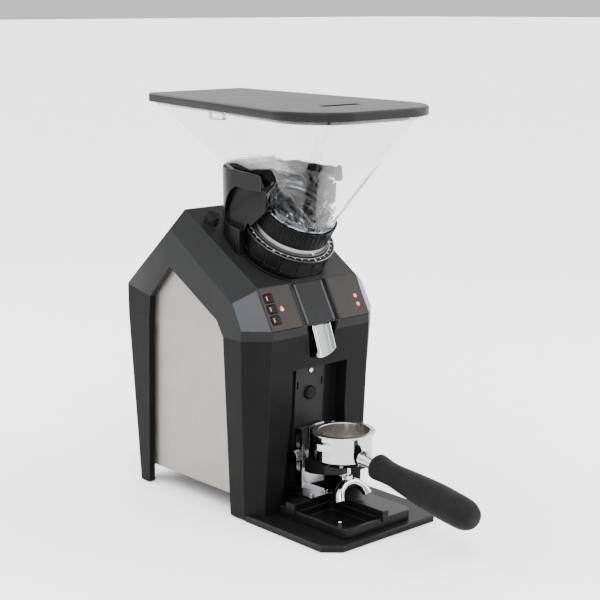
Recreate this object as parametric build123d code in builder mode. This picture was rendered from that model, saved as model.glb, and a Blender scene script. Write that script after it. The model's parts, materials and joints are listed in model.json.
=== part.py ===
"""Burr coffee grinder with a tilted grinding head, in millimetres.

The origin is on the floor, on the middle plane, below the front face at seam height.
+X is to the right seen from the front, +Y to the back, +Z up.
"""
import os
from math import atan2, cos, degrees, hypot, radians, sin, tan

from build123d import *

os.makedirs("parts", exist_ok=True)

# ---------------------------------------------------------------- housing form
HALF_WIDTH = 94.0           # half the width above the seam
FOOT_HALF_WIDTH = 83.2      # half the width at the floor
SEAM_Z = 201.4              # height of the seam between lower and upper housing
FRONT_LEAN = 0.075          # how far the front face leans back per millimetre down
CORNER_FLAT_TOP = 69.3      # half width of the flat front at the seam
CORNER_FLAT_FLOOR = 70.5    # half width of the flat front at the floor
CORNER_BACK_TOP = 22.5      # where the front corner chamfer meets the side, at the seam
CORNER_BACK_FLOOR = 34.0    # the same, at the floor
REAR_Y = 236.0              # rear face
REAR_CHAMFER = 12.0         # rear corner chamfer
STRIP_HEIGHT = 9.7          # upright strip between the seam and the control panel
PANEL_RUN = 24.6            # control panel, measured back
PANEL_RISE = 43.3           # control panel, measured up
ROOF_ANGLE = 31.2           # slope of the front roof, degrees
RIDGE_Y = 141.8             # where the roof turns over
REAR_ROOF_ANGLE = 40.6      # slope of the rear roof, degrees
RIDGE_HALF_WIDTH = 72.8     # half width of the ridge between its shoulders
SHOULDER_DROP = 20.0        # how far the shoulder falls to the side face
FACET_BACK_Y = 37.7         # side corner of the control panel's facet
FACET_Z = 240.7             # height of that corner
WALL = 3.0                  # housing wall
SEAM_GAP = 0.5              # open seam between housing shells
FIT_GAP = 0.3               # clearance around loose pieces

# ------------------------------------------------------------------ side panel
PANEL_RECESS = 8.0          # how deep the side panels sit
PANEL_SHEET = 1.5           # side panel sheet
PANEL_LAP = 2.4             # how far a side panel laps behind its frame
OPENING_PEAK = (143.9, 264.9)
OPENING_KNEE = (62.0, 218.2)
FRONT_LEG_TOP = 51.6        # rear edge of the front leg at the seam
FRONT_LEG_FLOOR = 57.2      # and at the floor
REAR_LEG_TOP = (181.9, 226.2)
REAR_LEG_FLOOR = 208.3
PAN_Z = 21.0                # underside of the floor pan
PAN_THICK = 3.0
LEG_LIFT = 1.0              # legs end this far above the floor, on their pads

# ------------------------------------------------------------------ base plate
BASE_FRONT_Y = -104.5
BASE_THICK = 6.6
BASE_CHAMFER_X = 16.8
BASE_CHAMFER_Y = 15.8
BASE_REAR_Y = 60.0          # end of the tongue under the housing
TONGUE_HALF = 70.0
POST_X = 50.0
POST_Y = 48.0
POST_RADIUS = 7.0
SCREW_RADIUS = 2.0
SCREW_HEAD_RADIUS = 3.6
SCREW_HEAD = 2.4
PAD_RADIUS = 9.0
PAD_DEPTH = 2.0

# ------------------------------------------------------------------ rear face
VENT_ROWS = 6
VENT_PITCH = 9.0
VENT_Z = 150.0
VENT_LENGTH = 90.0
VENT_WIDTH = 4.0
REAR_ARCH_HALF = 66.0
INLET_X = 40.0
INLET_Z = 60.0
INLET_WIDTH = 28.0
INLET_HEIGHT = 20.0
SWITCH_X = -30.0
SWITCH_WIDTH = 19.0
SWITCH_HEIGHT = 13.0

# ---------------------------------------------------------------- front recess
RECESS_HALF = 39.5
RECESS_TOP_Z = 164.3
RECESS_DEPTH = 18.0
FLARE_Z = 114.0             # below this the recess widens
FLARE_HALF = 49.0           # half width of the recess at the floor
SERVICE_HALF = 20.5
SERVICE_TOP = 158.5
SERVICE_BOTTOM = 30.0
SERVICE_THICK = 2.5
SLOT_X = 17.6
SLOT_WIDTH = 2.4
SLOT_HEIGHT = 9.0
SLOT_Z = 140.0
START_Z = 129.5
START_RADIUS = 7.6
START_TRAVEL = 3.0

# ------------------------------------------------------- control panel (x, along)
PANEL_LENGTH = hypot(PANEL_RUN, PANEL_RISE)
GLASS_INNER = 27.0
GLASS_OUTER = 69.0
GLASS_THICK = 1.8
COVER_HALF = 20.0
COVER_THICK = 3.0
COVER_SINK = 1.0            # cover face below the panel face
FRAME_STEP = 23.6           # where the cover frame steps down
BUTTON_X = -59.8
BUTTON_WIDTH = 11.2
BUTTON_HEIGHT = 9.0
BUTTON_PITCH = 12.2
BUTTON_FIRST = 12.8         # lowest dose button, along the panel
BUTTON_PROUD = 0.9
BUTTON_DEPTH = 4.2
BUTTON_TRAVEL = 1.0
LIGHT_RADIUS = 2.3
DROP_X = -46.9
DROP_ALONG = 23.7
ICON_X = 58.6
ICON_ALONGS = (13.9, 23.5)

# ----------------------------------------------------------------------- spout
SPOUT_BOX_TOP = 22.5        # half width of the spout housing, top
SPOUT_BOX_FOOT = 17.0       # and bottom
SPOUT_BOX_Z = 173.5
SPOUT_BOX_DEPTH = 24.0
SPOUT_BOX_WALL = 1.6
SPOUT_RADIUS = 13.0
SPOUT_SHEET = 1.2
SPOUT_LENGTH = 44.0
SPOUT_TILT = 20.0           # from upright, lower end forward, degrees
SPOUT_FOOT_Z = 172.0

# ----------------------------------------------------- grinding head, on its axis
AXIS_Y = 65.0               # where the head's axis meets the roof
FLANGE_RADIUS = 52.0
FLANGE_THICK = 2.5
TOWER_RADIUS = 40.3         # fixed tube that the dial turns on
TOWER_WALL = 3.0
TOWER_TOP = 34.0
DIAL_RADIUS = 51.0
DIAL_FOOT_RADIUS = 48.8
DIAL_BOTTOM = 4.5
DIAL_TOP = 27.0
DIAL_FACETS = 16
DIAL_GAP = 0.35             # dial to tower, radial
SCALE_THICK = 0.5
INDEX_RADIUS = 43.4
INDEX_TOP = 30.0
COLLAR_RADIUS = 43.2
COLLAR_FOOT_RADIUS = 41.4
COLLAR_WALL = 4.6
COLLAR_BOTTOM = 35.4
COLLAR_TOP = 57.4
COLLAR_RIBS = 44
NECK_RADIUS = 36.0
NECK_WALL = 2.0
NECK_BOTTOM = 34.6
NECK_TOP = 66.0
CROWN_RADIUS = 40.4         # castellated ring of the neck
CROWN_BOTTOM = 57.9
CROWN_TEETH = 10
BURR_RADIUS = 32.0
BURR_BORE = 17.0
BURR_THICK = 6.0
BURR_GAP = 0.9
BURR_PLANE = -14.0          # where the two burrs meet
CARRIER_RADIUS = 36.9
CARRIER_TOP = 20.0
CHAMBER_RADIUS = 44.0
CHAMBER_WALL = 4.0
CHAMBER_BOTTOM = -46.0
SHAFT_RADIUS = 6.0
SHAFT_FIT = 0.05
MOTOR_RADIUS = 45.0
MOTOR_TOP = -52.0
MOTOR_BOTTOM = -150.0
MOTOR_WALL = 3.0
BEARING_RADIUS = 13.0
BEARING_THICK = 8.0
FAN_RADIUS = 38.0
FAN_THICK = 12.0
FAN_BLADES = 9

# ------------------------------------------------------------- hopper and lid
LID_BOTTOM_Z = 432.4
LID_TILT = 1.3              # the lid rises towards the back, degrees
LID_THICK = 9.5
LID_FRONT_HALF = 102.5
LID_REAR_HALF = 67.5
LID_FRONT_Y = -94.0
LID_REAR_Y = 216.0
LID_FRONT_RADIUS = 56.0
LID_REAR_RADIUS = 9.0
HOPPER_INSET = 5.0          # hopper rim inside the lid's edge
HOPPER_WALL = 2.4
KNEE_Z = 378.0              # where the hopper's rear wall bends
KNEE_REAR_Y = 124.0
KNEE_FRONT_Y = -46.0
KNEE_FRONT_HALF = 70.0
KNEE_REAR_HALF = 48.0
KNEE_FRONT_RADIUS = 44.0
KNEE_REAR_RADIUS = 26.0
LID_SLOT_LENGTH = 53.0
LID_SLOT_WIDTH = 12.0
LID_SLOT_Y = -28.0
LID_LIP_INSET = 17.0
LID_LIP_DEPTH = 4.0

# ----------------------------------------------------------------- cradle
CRADLE_HALF = 58.0
CRADLE_REAR_Y = 122.0
CRADLE_FRONT_Y = 30.0
CRADLE_CORNER = 44.0
CRADLE_WALL = 12.0
CRADLE_TOP_Z = 378.0
CRADLE_FIN_INSET = 8.0      # the fin in each leg lies this far in from the outside
CRADLE_FIN_THICK = 4.0
CRADLE_ARM_TOP_Z = 371.0
CRADLE_ARM_DEPTH = 17.0
CRADLE_FIN_TOP = (72.6, 356.0)      # top of the scooped opening in each leg
CRADLE_FIN_FOOT = (96.0, 317.0)     # and where its curved edge meets the foot
CRADLE_FOOT_FRONT = 4.2             # along the roof from the head's axis
CRADLE_FOOT_REAR = 66.0

# ----------------------------------------------------------- holder and tray
HOLDER_X = 20.0             # side flange of the holder bracket
HOLDER_SHEET = 2.0
HOLDER_FRONT_Y = 11.4
HOLDER_TOP_Z = 94.0
HOLDER_FOOT_Z = 26.0
THUMB_Y = 17.0
THUMB_Z = 64.0
THUMB_RADIUS = 7.2
THUMB_WIDTH = 8.0
FORK_TOP_Z = 65.0
FORK_THICK = 15.0
FORK_HALF = 24.0
FORK_FRONT_Y = -50.0
BACKSTOP_Y = 3.0
BACKSTOP_TOP_Z = 98.0
TRAY_LEFT = -55.0
TRAY_RIGHT = 43.5
TRAY_FRONT_Y = -95.0
TRAY_REAR_Y = 8.0
TRAY_HEIGHT = 11.0
TRAY_FLOOR = 2.0
TRAY_RIM = 3.0
TRAY_CORNER = 10.0
BAR = 8.0
BAR_TOP_Z = 25.8
BAR_X = -2.5
CROSS_Y = -18.0
CROSS_DEPTH = 14.0

# ----------------------------------------------------------------- portafilter
RIM_Y = -33.7
RIM_Z = 99.0
RIM_RADIUS = 34.0
BOWL_RADIUS = 31.0
BOWL_WALL = 2.5
BOWL_DEPTH = 33.0
BASKET_RADIUS = 28.2
BASKET_SHEET = 0.8
BASKET_DEPTH = 24.0
HANDLE_TILT = 9.0
NECK_ROD_RADIUS = 6.5
HANDLE_START = 50.0         # from the bowl's axis, along the handle
HANDLE_LENGTH = 141.0
SPOUT_TIP_X = 20.0
SPOUT_TIP_Z = 28.0

# =============================================================== derived places
FRONT_FLOOR_Y = FRONT_LEAN * SEAM_Z
PANEL_FOOT = (-0.9, SEAM_Z + STRIP_HEIGHT)
PANEL_HEAD = (PANEL_FOOT[0] + PANEL_RUN, PANEL_FOOT[1] + PANEL_RISE)
RIDGE_Z = PANEL_HEAD[1] + (RIDGE_Y - PANEL_HEAD[0]) * tan(radians(ROOF_ANGLE))
EAVE_Z = RIDGE_Z - (REAR_Y - RIDGE_Y) * tan(radians(REAR_ROOF_ANGLE))
AXIS_Z = PANEL_HEAD[1] + (AXIS_Y - PANEL_HEAD[0]) * tan(radians(ROOF_ANGLE))
SIDE_TAPER = (HALF_WIDTH - FOOT_HALF_WIDTH) / SEAM_Z
REACH = 400.0               # longer than the whole machine, for cutting

lean_angle = atan2(FRONT_LEAN, 1.0)
roof_angle = radians(ROOF_ANGLE)
panel_angle = atan2(PANEL_RISE, PANEL_RUN)

side_plane = Plane.YZ
axis_plane = Plane(origin=(0, AXIS_Y, AXIS_Z), x_dir=(1, 0, 0),
                   z_dir=(0, -sin(roof_angle), cos(roof_angle)))
panel_plane = Plane(origin=(0, *PANEL_FOOT), x_dir=(1, 0, 0),
                    z_dir=(0, -sin(panel_angle), cos(panel_angle)))
front_plane = Plane(origin=(0, 0, SEAM_Z), x_dir=(1, 0, 0),
                    z_dir=(0, -cos(lean_angle), -sin(lean_angle)))


def front_y(height):
    """Where the leaning front face stands at a height below the seam."""
    return FRONT_LEAN * (SEAM_Z - height)


def down_front(height):
    """Distance along the leaning face from the seam to a height, negative down."""
    return (height - SEAM_Z) / cos(lean_angle)


def save(builder, label):
    """Label a finished piece and write it as its own STEP file."""
    builder.part.label = label
    export_step(builder.part, f"parts/{label}.step")


# ================================================================ housing forms
def plan(flat_half, front, corner_back, half):
    """Half plan of the lower housing at one level, as points from the middle out."""
    right = [(flat_half, front), (half, corner_back), (half, REAR_Y - REAR_CHAMFER),
             (half - REAR_CHAMFER, REAR_Y)]
    left = [(-x, y) for x, y in reversed(right)]
    return right + left


def lower_form(inset):
    """Lower housing form, drawn in by the inset, from the floor to the seam."""
    with BuildPart() as form:
        with BuildSketch(Plane.XY):
            Polygon(*plan(CORNER_FLAT_FLOOR, FRONT_FLOOR_Y, CORNER_BACK_FLOOR, FOOT_HALF_WIDTH))
            if inset:
                offset(amount=-inset, kind=Kind.INTERSECTION)
        with BuildSketch(Plane.XY.offset(SEAM_Z)):
            Polygon(*plan(CORNER_FLAT_TOP, 0, CORNER_BACK_TOP, HALF_WIDTH))
            if inset:
                offset(amount=-inset, kind=Kind.INTERSECTION)
        loft(ruled=True)
    return form.part


def cutting_plane(first, second, third, inset, side):
    """Plane through three points on the right side, drawn in and mirrored for the left."""
    points = [Vector(side * x, y, z) for x, y, z in (first, second, third)]
    normal = (points[1] - points[0]).cross(points[2] - points[0]).normalized()
    outward = normal if normal.dot(Vector(side, 0, 0.01)) > 0 else -normal
    return Plane(origin=points[0] - outward * inset, z_dir=outward)


def upper_form(inset):
    """Upper housing form above the seam: roof, control panel, shoulders and facets."""
    profile = [(0, SEAM_Z), PANEL_FOOT, PANEL_HEAD, (RIDGE_Y, RIDGE_Z), (REAR_Y, EAVE_Z),
               (REAR_Y, SEAM_Z)]
    head = (CORNER_FLAT_TOP, *PANEL_HEAD)
    facet = (HALF_WIDTH, FACET_BACK_Y, FACET_Z)
    ridge = (RIDGE_HALF_WIDTH, RIDGE_Y, RIDGE_Z)
    shoulder = (HALF_WIDTH, RIDGE_Y, RIDGE_Z - SHOULDER_DROP)
    eave = (RIDGE_HALF_WIDTH, REAR_Y, EAVE_Z)
    corner = (HALF_WIDTH, CORNER_BACK_TOP, SEAM_Z)
    foot = (CORNER_FLAT_TOP, 0, SEAM_Z)
    strip = (CORNER_FLAT_TOP, 0, PANEL_FOOT[1])
    facet_foot = (HALF_WIDTH, CORNER_BACK_TOP, PANEL_FOOT[1])
    rear_in = (HALF_WIDTH - REAR_CHAMFER, REAR_Y, SEAM_Z)
    rear_out = (HALF_WIDTH, REAR_Y - REAR_CHAMFER, SEAM_Z)
    rear_up = (HALF_WIDTH, REAR_Y - REAR_CHAMFER, EAVE_Z)
    triples = [(head, ridge, shoulder), (ridge, eave, shoulder), (foot, corner, strip),
               (strip, facet_foot, facet), (rear_in, rear_out, rear_up)]
    with BuildPart() as form:
        with BuildSketch(side_plane):
            Polygon(*profile)
            if inset:
                offset(amount=-inset, kind=Kind.INTERSECTION)
        extrude(amount=HALF_WIDTH - inset, both=True)
        if inset:
            with BuildSketch(Plane.XY.offset(SEAM_Z)):
                Polygon(*plan(CORNER_FLAT_TOP, 0, CORNER_BACK_TOP, HALF_WIDTH))
                offset(amount=-inset, kind=Kind.INTERSECTION)
            extrude(amount=inset + 1)
        for triple in triples:
            for side in (1, -1):
                split(bisect_by=cutting_plane(*triple, inset, side), keep=Keep.BOTTOM)
    return form.part


def whole_form(inset):
    """Both forms joined at the seam."""
    lower = lower_form(inset)
    upper = upper_form(inset)
    with BuildPart() as form:
        add(lower)
        add(upper)
    return form.part


def side_prism(points, margin=0.0):
    """Solid with a side profile, right through the machine."""
    with BuildPart() as prism:
        with BuildSketch(side_plane):
            Polygon(*points)
            if margin:
                offset(amount=margin, kind=Kind.INTERSECTION)
        extrude(amount=REACH / 2, both=True)
    return prism.part


def leg_edge_y(floor_y, top_y, height):
    """Straight leg edge between the floor and the seam, at a height."""
    return floor_y + (top_y - floor_y) * height / SEAM_Z


opening_points = [(leg_edge_y(FRONT_LEG_FLOOR, FRONT_LEG_TOP, -20), -20),
                  (FRONT_LEG_TOP, SEAM_Z), OPENING_KNEE, OPENING_PEAK, REAR_LEG_TOP,
                  (REAR_LEG_FLOOR + 2.3, -20)]
sheet_points = [(leg_edge_y(FRONT_LEG_FLOOR, FRONT_LEG_TOP, PAN_Z + PAN_THICK), PAN_Z + PAN_THICK),
                *opening_points[1:5],
                (REAR_LEG_FLOOR - 3.0, PAN_Z + PAN_THICK)]
mitre_end = (REAR_Y + 20, REAR_LEG_TOP[1] + (REAR_Y + 20 - REAR_LEG_TOP[0]) * 0.195)
half_gap = SEAM_GAP / 2
SPLIT_Y = 120.0
front_region = side_prism([(-30, LEG_LIFT), (SPLIT_Y, LEG_LIFT), (SPLIT_Y, SEAM_Z - half_gap),
                           (-30, SEAM_Z - half_gap)])
rear_region = side_prism([(SPLIT_Y, LEG_LIFT), (mitre_end[0], LEG_LIFT),
                          (mitre_end[0], mitre_end[1] - half_gap),
                          (REAR_LEG_TOP[0], REAR_LEG_TOP[1] - half_gap),
                          (SPLIT_Y, REAR_LEG_TOP[1] - half_gap)])
top_region = side_prism([(-30, SEAM_Z + half_gap), (SPLIT_Y, SEAM_Z + half_gap),
                         (SPLIT_Y, REAR_LEG_TOP[1] + half_gap),
                         (REAR_LEG_TOP[0], REAR_LEG_TOP[1] + half_gap),
                         (mitre_end[0], mitre_end[1] + half_gap),
                         (mitre_end[0], REACH), (-30, REACH)])
opening_prism = side_prism(opening_points)
frame_prism = side_prism(opening_points, WALL)
sheet_prism = side_prism(sheet_points, PANEL_LAP)
outer_form = whole_form(0)
wall_form = whole_form(WALL)
recess_form = whole_form(PANEL_RECESS)
sheet_form = whole_form(PANEL_RECESS + PANEL_SHEET)
frame_back_form = whole_form(PANEL_RECESS)

# The casing is one shell with deep frames around the side openings; it is then shared out.
with BuildPart() as frame_ring:
    add(outer_form)
    add(frame_prism, mode=Mode.INTERSECT)
    add(frame_back_form, mode=Mode.SUBTRACT)

with BuildPart() as casing:
    add(outer_form)
    add(wall_form, mode=Mode.SUBTRACT)
    add(frame_ring.part)
    add(opening_prism, mode=Mode.SUBTRACT)

# ================================================================ cutting tools
recess_outline = [(-RECESS_HALF, down_front(RECESS_TOP_Z)), (RECESS_HALF, down_front(RECESS_TOP_Z)),
                  (RECESS_HALF, down_front(FLARE_Z)), (FLARE_HALF, down_front(-1)),
                  (-FLARE_HALF, down_front(-1)), (-RECESS_HALF, down_front(FLARE_Z))]
with BuildPart() as recess_pocket:
    with BuildSketch(front_plane.offset(20)):
        Polygon(*recess_outline)
    extrude(amount=-(20 + RECESS_DEPTH))

with BuildPart() as recess_walls:
    with BuildSketch(front_plane.offset(-1)):
        Polygon(*recess_outline)
        offset(amount=WALL, kind=Kind.INTERSECTION)
    extrude(amount=-(RECESS_DEPTH + WALL - 1))

spout_outline = [(-SPOUT_BOX_TOP, PANEL_FOOT[1]), (SPOUT_BOX_TOP, PANEL_FOOT[1]),
                 (SPOUT_BOX_FOOT, SPOUT_BOX_Z), (-SPOUT_BOX_FOOT, SPOUT_BOX_Z)]
with BuildPart() as spout_window:
    with BuildSketch(Plane.XZ.offset(20)):
        Polygon(*spout_outline)
        offset(amount=SEAM_GAP / 2, kind=Kind.INTERSECTION)
    extrude(amount=-(20 + SPOUT_BOX_DEPTH + 4))

with BuildPart() as service_window:
    with BuildSketch(front_plane):
        with Locations((0, down_front((SERVICE_TOP + SERVICE_BOTTOM) / 2))):
            Rectangle(2 * SERVICE_HALF - 8, SERVICE_TOP - SERVICE_BOTTOM - 8)
    extrude(amount=-(RECESS_DEPTH + WALL + 4))

# ---------------------------------------------------------------- front housing
with BuildPart() as front_housing:
    add(casing.part)
    add(front_region, mode=Mode.INTERSECT)
    add(recess_walls.part)
    add(recess_pocket.part, mode=Mode.SUBTRACT)
    add(spout_window.part, mode=Mode.SUBTRACT)
    add(service_window.part, mode=Mode.SUBTRACT)
    with BuildSketch(Plane.XY.offset(-20)):
        with Locations((0, BASE_REAR_Y / 2)):
            Rectangle(2 * (TONGUE_HALF + FIT_GAP), BASE_REAR_Y + 2)
    extrude(amount=20 + BASE_THICK + FIT_GAP, mode=Mode.SUBTRACT)
save(front_housing, "front_housing")

# ----------------------------------------------------------------- rear housing
with BuildPart() as rear_housing:
    add(casing.part)
    add(rear_region, mode=Mode.INTERSECT)
    with BuildSketch(Plane.XZ.offset(-REAR_Y - 5)):
        with Locations((0, VENT_Z)):
            with GridLocations(1, VENT_PITCH, 1, VENT_ROWS):
                SlotOverall(VENT_LENGTH, VENT_WIDTH)
    extrude(amount=20, mode=Mode.SUBTRACT)
    with BuildSketch(Plane.XZ.offset(-REAR_Y - 5)):
        with Locations((INLET_X, INLET_Z)):
            Rectangle(INLET_WIDTH + 2 * FIT_GAP, INLET_HEIGHT + 2 * FIT_GAP)
        with Locations((SWITCH_X, INLET_Z)):
            Rectangle(SWITCH_WIDTH + 2 * FIT_GAP, SWITCH_HEIGHT + 2 * FIT_GAP)
        with Locations((0, 0)):
            RectangleRounded(2 * REAR_ARCH_HALF, 2 * PAN_Z, 8)
    extrude(amount=20, mode=Mode.SUBTRACT)
save(rear_housing, "rear_housing")

# ------------------------------------------------------------------ top housing
HEAD_HOLE = CHAMBER_RADIUS + FIT_GAP
glass_outlines = {}
for side, name in ((-1, "left"), (1, "right")):
    glass_outlines[name] = [(side * GLASS_INNER, 0.8), (side * GLASS_OUTER, 0.8),
                            (side * GLASS_OUTER, PANEL_LENGTH - 0.8),
                            (side * GLASS_INNER, PANEL_LENGTH - 0.8)]


def facet_plane(side):
    """Plane on a corner facet of the control panel."""
    foot = Vector(side * CORNER_FLAT_TOP, *PANEL_FOOT)
    head = Vector(side * CORNER_FLAT_TOP, *PANEL_HEAD)
    corner = Vector(side * HALF_WIDTH, FACET_BACK_Y, FACET_Z)
    normal = (head - foot).cross(corner - foot).normalized()
    outward = normal if normal.X * side > 0 else -normal
    return Plane(origin=foot, x_dir=head - foot, z_dir=outward)


def facet_outline(side):
    """Corner facet's outline, drawn in a little, in its own plane."""
    corners = [(side * CORNER_FLAT_TOP, *PANEL_FOOT), (side * CORNER_FLAT_TOP, *PANEL_HEAD),
               (side * HALF_WIDTH, FACET_BACK_Y, FACET_Z),
               (side * HALF_WIDTH, CORNER_BACK_TOP, PANEL_FOOT[1])]
    plane = facet_plane(side)
    local = [plane.to_local_coords(Vector(*corner)) for corner in corners]
    return [(point.X, point.Y) for point in local]


with BuildPart() as top_housing:
    add(casing.part)
    add(top_region, mode=Mode.INTERSECT)
    add(spout_window.part, mode=Mode.SUBTRACT)
    with BuildSketch(axis_plane.offset(-20)):
        Circle(HEAD_HOLE)
    extrude(amount=40, mode=Mode.SUBTRACT)
    for name in ("left", "right"):
        with BuildSketch(panel_plane.offset(-GLASS_THICK)):
            Polygon(*glass_outlines[name])
            offset(amount=0.2, kind=Kind.INTERSECTION)
        extrude(amount=20, mode=Mode.SUBTRACT)
    for side in (-1, 1):
        with BuildSketch(facet_plane(side).offset(-GLASS_THICK)):
            Polygon(*facet_outline(side))
            offset(amount=-1.0, kind=Kind.INTERSECTION)
        extrude(amount=20, mode=Mode.SUBTRACT)
    with BuildSketch(panel_plane.offset(10)):
        with Locations((0, PANEL_LENGTH / 2)):
            Rectangle(2 * (GLASS_INNER - 0.8), PANEL_LENGTH - 1.6)
    extrude(amount=-24, mode=Mode.SUBTRACT)
    with BuildSketch(panel_plane.offset(10)):
        with Locations((BUTTON_X, BUTTON_FIRST + BUTTON_PITCH)):
            Rectangle(BUTTON_WIDTH + 1, 2 * BUTTON_PITCH + BUTTON_HEIGHT + 1)
    extrude(amount=-24, mode=Mode.SUBTRACT)
save(top_housing, "top_housing")

# ------------------------------------------------------------------ side panels
for side, name in ((-1, "left"), (1, "right")):
    with BuildPart() as side_panel:
        add(recess_form)
        add(sheet_form, mode=Mode.SUBTRACT)
        add(sheet_prism, mode=Mode.INTERSECT)
        with BuildSketch(Plane.XY):
            with Locations((side * HALF_WIDTH, SPLIT_Y)):
                Rectangle(HALF_WIDTH, REACH)
        extrude(amount=REACH, mode=Mode.INTERSECT)
    save(side_panel, f"side_panel_{name}")

# ------------------------------------------------------- floor pan and base plate
pan_half = FOOT_HALF_WIDTH + SIDE_TAPER * PAN_Z - PANEL_RECESS - PANEL_SHEET - FIT_GAP
PAN_FRONT_Y = 44.0
PAN_REAR_Y = 222.0
with BuildPart() as floor_pan:
    with BuildSketch(Plane.XY.offset(PAN_Z)):
        with Locations((0, (PAN_FRONT_Y + PAN_REAR_Y) / 2)):
            Rectangle(2 * pan_half, PAN_REAR_Y - PAN_FRONT_Y)
        with Locations((0, PAN_REAR_Y)):
            Rectangle(2 * REAR_ARCH_HALF, 16)
    extrude(amount=PAN_THICK)
    with BuildSketch(Plane.XY.offset(BASE_THICK)):
        with Locations((-POST_X, POST_Y + 4), (POST_X, POST_Y + 4)):
            Circle(POST_RADIUS)
    extrude(amount=PAN_Z - BASE_THICK)
    with BuildSketch(Plane.XY):
        with Locations((-POST_X, POST_Y + 4), (POST_X, POST_Y + 4)):
            Circle(SCREW_RADIUS)
    extrude(amount=REACH, mode=Mode.SUBTRACT)
save(floor_pan, "floor_pan")

leg_side = leg_edge_y(CORNER_BACK_FLOOR, CORNER_BACK_TOP, BASE_THICK)
base_outline = [(FOOT_HALF_WIDTH - BASE_CHAMFER_X, BASE_FRONT_Y),
                (FOOT_HALF_WIDTH, BASE_FRONT_Y + BASE_CHAMFER_Y),
                (FOOT_HALF_WIDTH, leg_side - 2.0),
                (TONGUE_HALF, front_y(0) - 3.2), (TONGUE_HALF, BASE_REAR_Y)]
with BuildPart() as base_plate:
    with BuildSketch(Plane.XY):
        Polygon(*base_outline, *[(-x, y) for x, y in reversed(base_outline)])
    extrude(amount=BASE_THICK)
    chamfer(base_plate.faces().sort_by(Axis.Z)[-1].edges().filter_by(
        lambda edge: edge.center().Y < FRONT_FLOOR_Y - 8), length=1.2)
    with BuildSketch(Plane.XY):
        with Locations((-66, -82), (66, -82), (-58, 30), (58, 30)):
            Circle(PAD_RADIUS + 0.1)
    extrude(amount=PAD_DEPTH, mode=Mode.SUBTRACT)
    with BuildSketch(Plane.XY):
        with Locations((-POST_X, POST_Y + 4), (POST_X, POST_Y + 4)):
            Circle(SCREW_RADIUS)
    extrude(amount=BASE_THICK, mode=Mode.SUBTRACT)
    with BuildSketch(Plane.XY):
        with Locations((-POST_X, POST_Y + 4), (POST_X, POST_Y + 4)):
            Circle(SCREW_HEAD_RADIUS + 0.2)
    extrude(amount=SCREW_HEAD + 0.6, mode=Mode.SUBTRACT)
save(base_plate, "base_plate")

with BuildPart() as base_screws:
    for side in (-1, 1):
        with BuildSketch(Plane.XY.offset(0.6)):
            with Locations((side * POST_X, POST_Y + 4)):
                Circle(SCREW_HEAD_RADIUS)
        extrude(amount=SCREW_HEAD)
        with BuildSketch(Plane.XY.offset(0.6)):
            with Locations((side * POST_X, POST_Y + 4)):
                Circle(SCREW_RADIUS - 0.05)
        extrude(amount=PAN_Z + PAN_THICK - 2)
save(base_screws, "base_screws")

rear_leg_x = FOOT_HALF_WIDTH - PANEL_RECESS / 2
rear_leg_y = (REAR_LEG_FLOOR + REAR_Y - REAR_CHAMFER) / 2
with BuildPart() as rubber_feet:
    with BuildSketch(Plane.XY):
        with Locations((-66, -82), (66, -82), (-58, 30), (58, 30)):
            Circle(PAD_RADIUS)
    extrude(amount=PAD_DEPTH)
    with BuildSketch(Plane.XY):
        with Locations((-rear_leg_x, rear_leg_y), (rear_leg_x, rear_leg_y)):
            RectangleRounded(PANEL_RECESS - 1, 12, 1.5)
    extrude(amount=LEG_LIFT)
save(rubber_feet, "rubber_feet")

# ------------------------------------------------------- control panel's pieces
for side, name in ((-1, "left"), (1, "right")):
    with BuildPart() as control_glass:
        with BuildSketch(panel_plane.offset(-GLASS_THICK)):
            Polygon(*glass_outlines[name])
            if side < 0:
                for row in range(3):
                    with Locations((BUTTON_X, BUTTON_FIRST + row * BUTTON_PITCH)):
                        Rectangle(BUTTON_WIDTH + 0.6, BUTTON_HEIGHT + 0.6, mode=Mode.SUBTRACT)
                with Locations((DROP_X, DROP_ALONG)):
                    Circle(LIGHT_RADIUS + 0.1, mode=Mode.SUBTRACT)
            else:
                with Locations(*[(ICON_X, along) for along in ICON_ALONGS]):
                    Circle(LIGHT_RADIUS + 0.1, mode=Mode.SUBTRACT)
        extrude(amount=GLASS_THICK)
    save(control_glass, f"control_glass_{name}")

with BuildPart() as corner_glasses:
    for side in (-1, 1):
        with BuildSketch(facet_plane(side).offset(-GLASS_THICK)):
            Polygon(*facet_outline(side))
            offset(amount=-1.2, kind=Kind.INTERSECTION)
        extrude(amount=GLASS_THICK)
save(corner_glasses, "corner_glasses")

for row in range(3):
    with BuildPart() as dose_button:
        with BuildSketch(panel_plane.offset(BUTTON_PROUD - BUTTON_DEPTH)):
            with Locations((BUTTON_X, BUTTON_FIRST + row * BUTTON_PITCH)):
                RectangleRounded(BUTTON_WIDTH, BUTTON_HEIGHT, 0.8)
        extrude(amount=BUTTON_DEPTH)
    save(dose_button, f"dose_button_{row + 1}")

with BuildPart() as indicator_lights:
    with BuildSketch(panel_plane.offset(-GLASS_THICK)):
        with Locations((DROP_X, DROP_ALONG), *[(ICON_X, along) for along in ICON_ALONGS]):
            Circle(LIGHT_RADIUS)
    extrude(amount=GLASS_THICK)
save(indicator_lights, "indicator_lights")

BOARD_DEPTH = 9.0
BOARD_THICK = 1.6
with BuildPart() as control_board:
    with BuildSketch(panel_plane.offset(-BOARD_DEPTH - BOARD_THICK)):
        with Locations((-46, PANEL_LENGTH / 2)):
            Rectangle(36, 40)
    extrude(amount=BOARD_THICK)
    for row in range(3):
        with BuildSketch(panel_plane.offset(-BOARD_DEPTH)):
            with Locations((BUTTON_X, BUTTON_FIRST + row * BUTTON_PITCH)):
                Rectangle(6, 6)
        extrude(amount=BOARD_DEPTH + BUTTON_PROUD - BUTTON_DEPTH - BUTTON_TRAVEL - 0.2)
save(control_board, "control_board")

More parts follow.
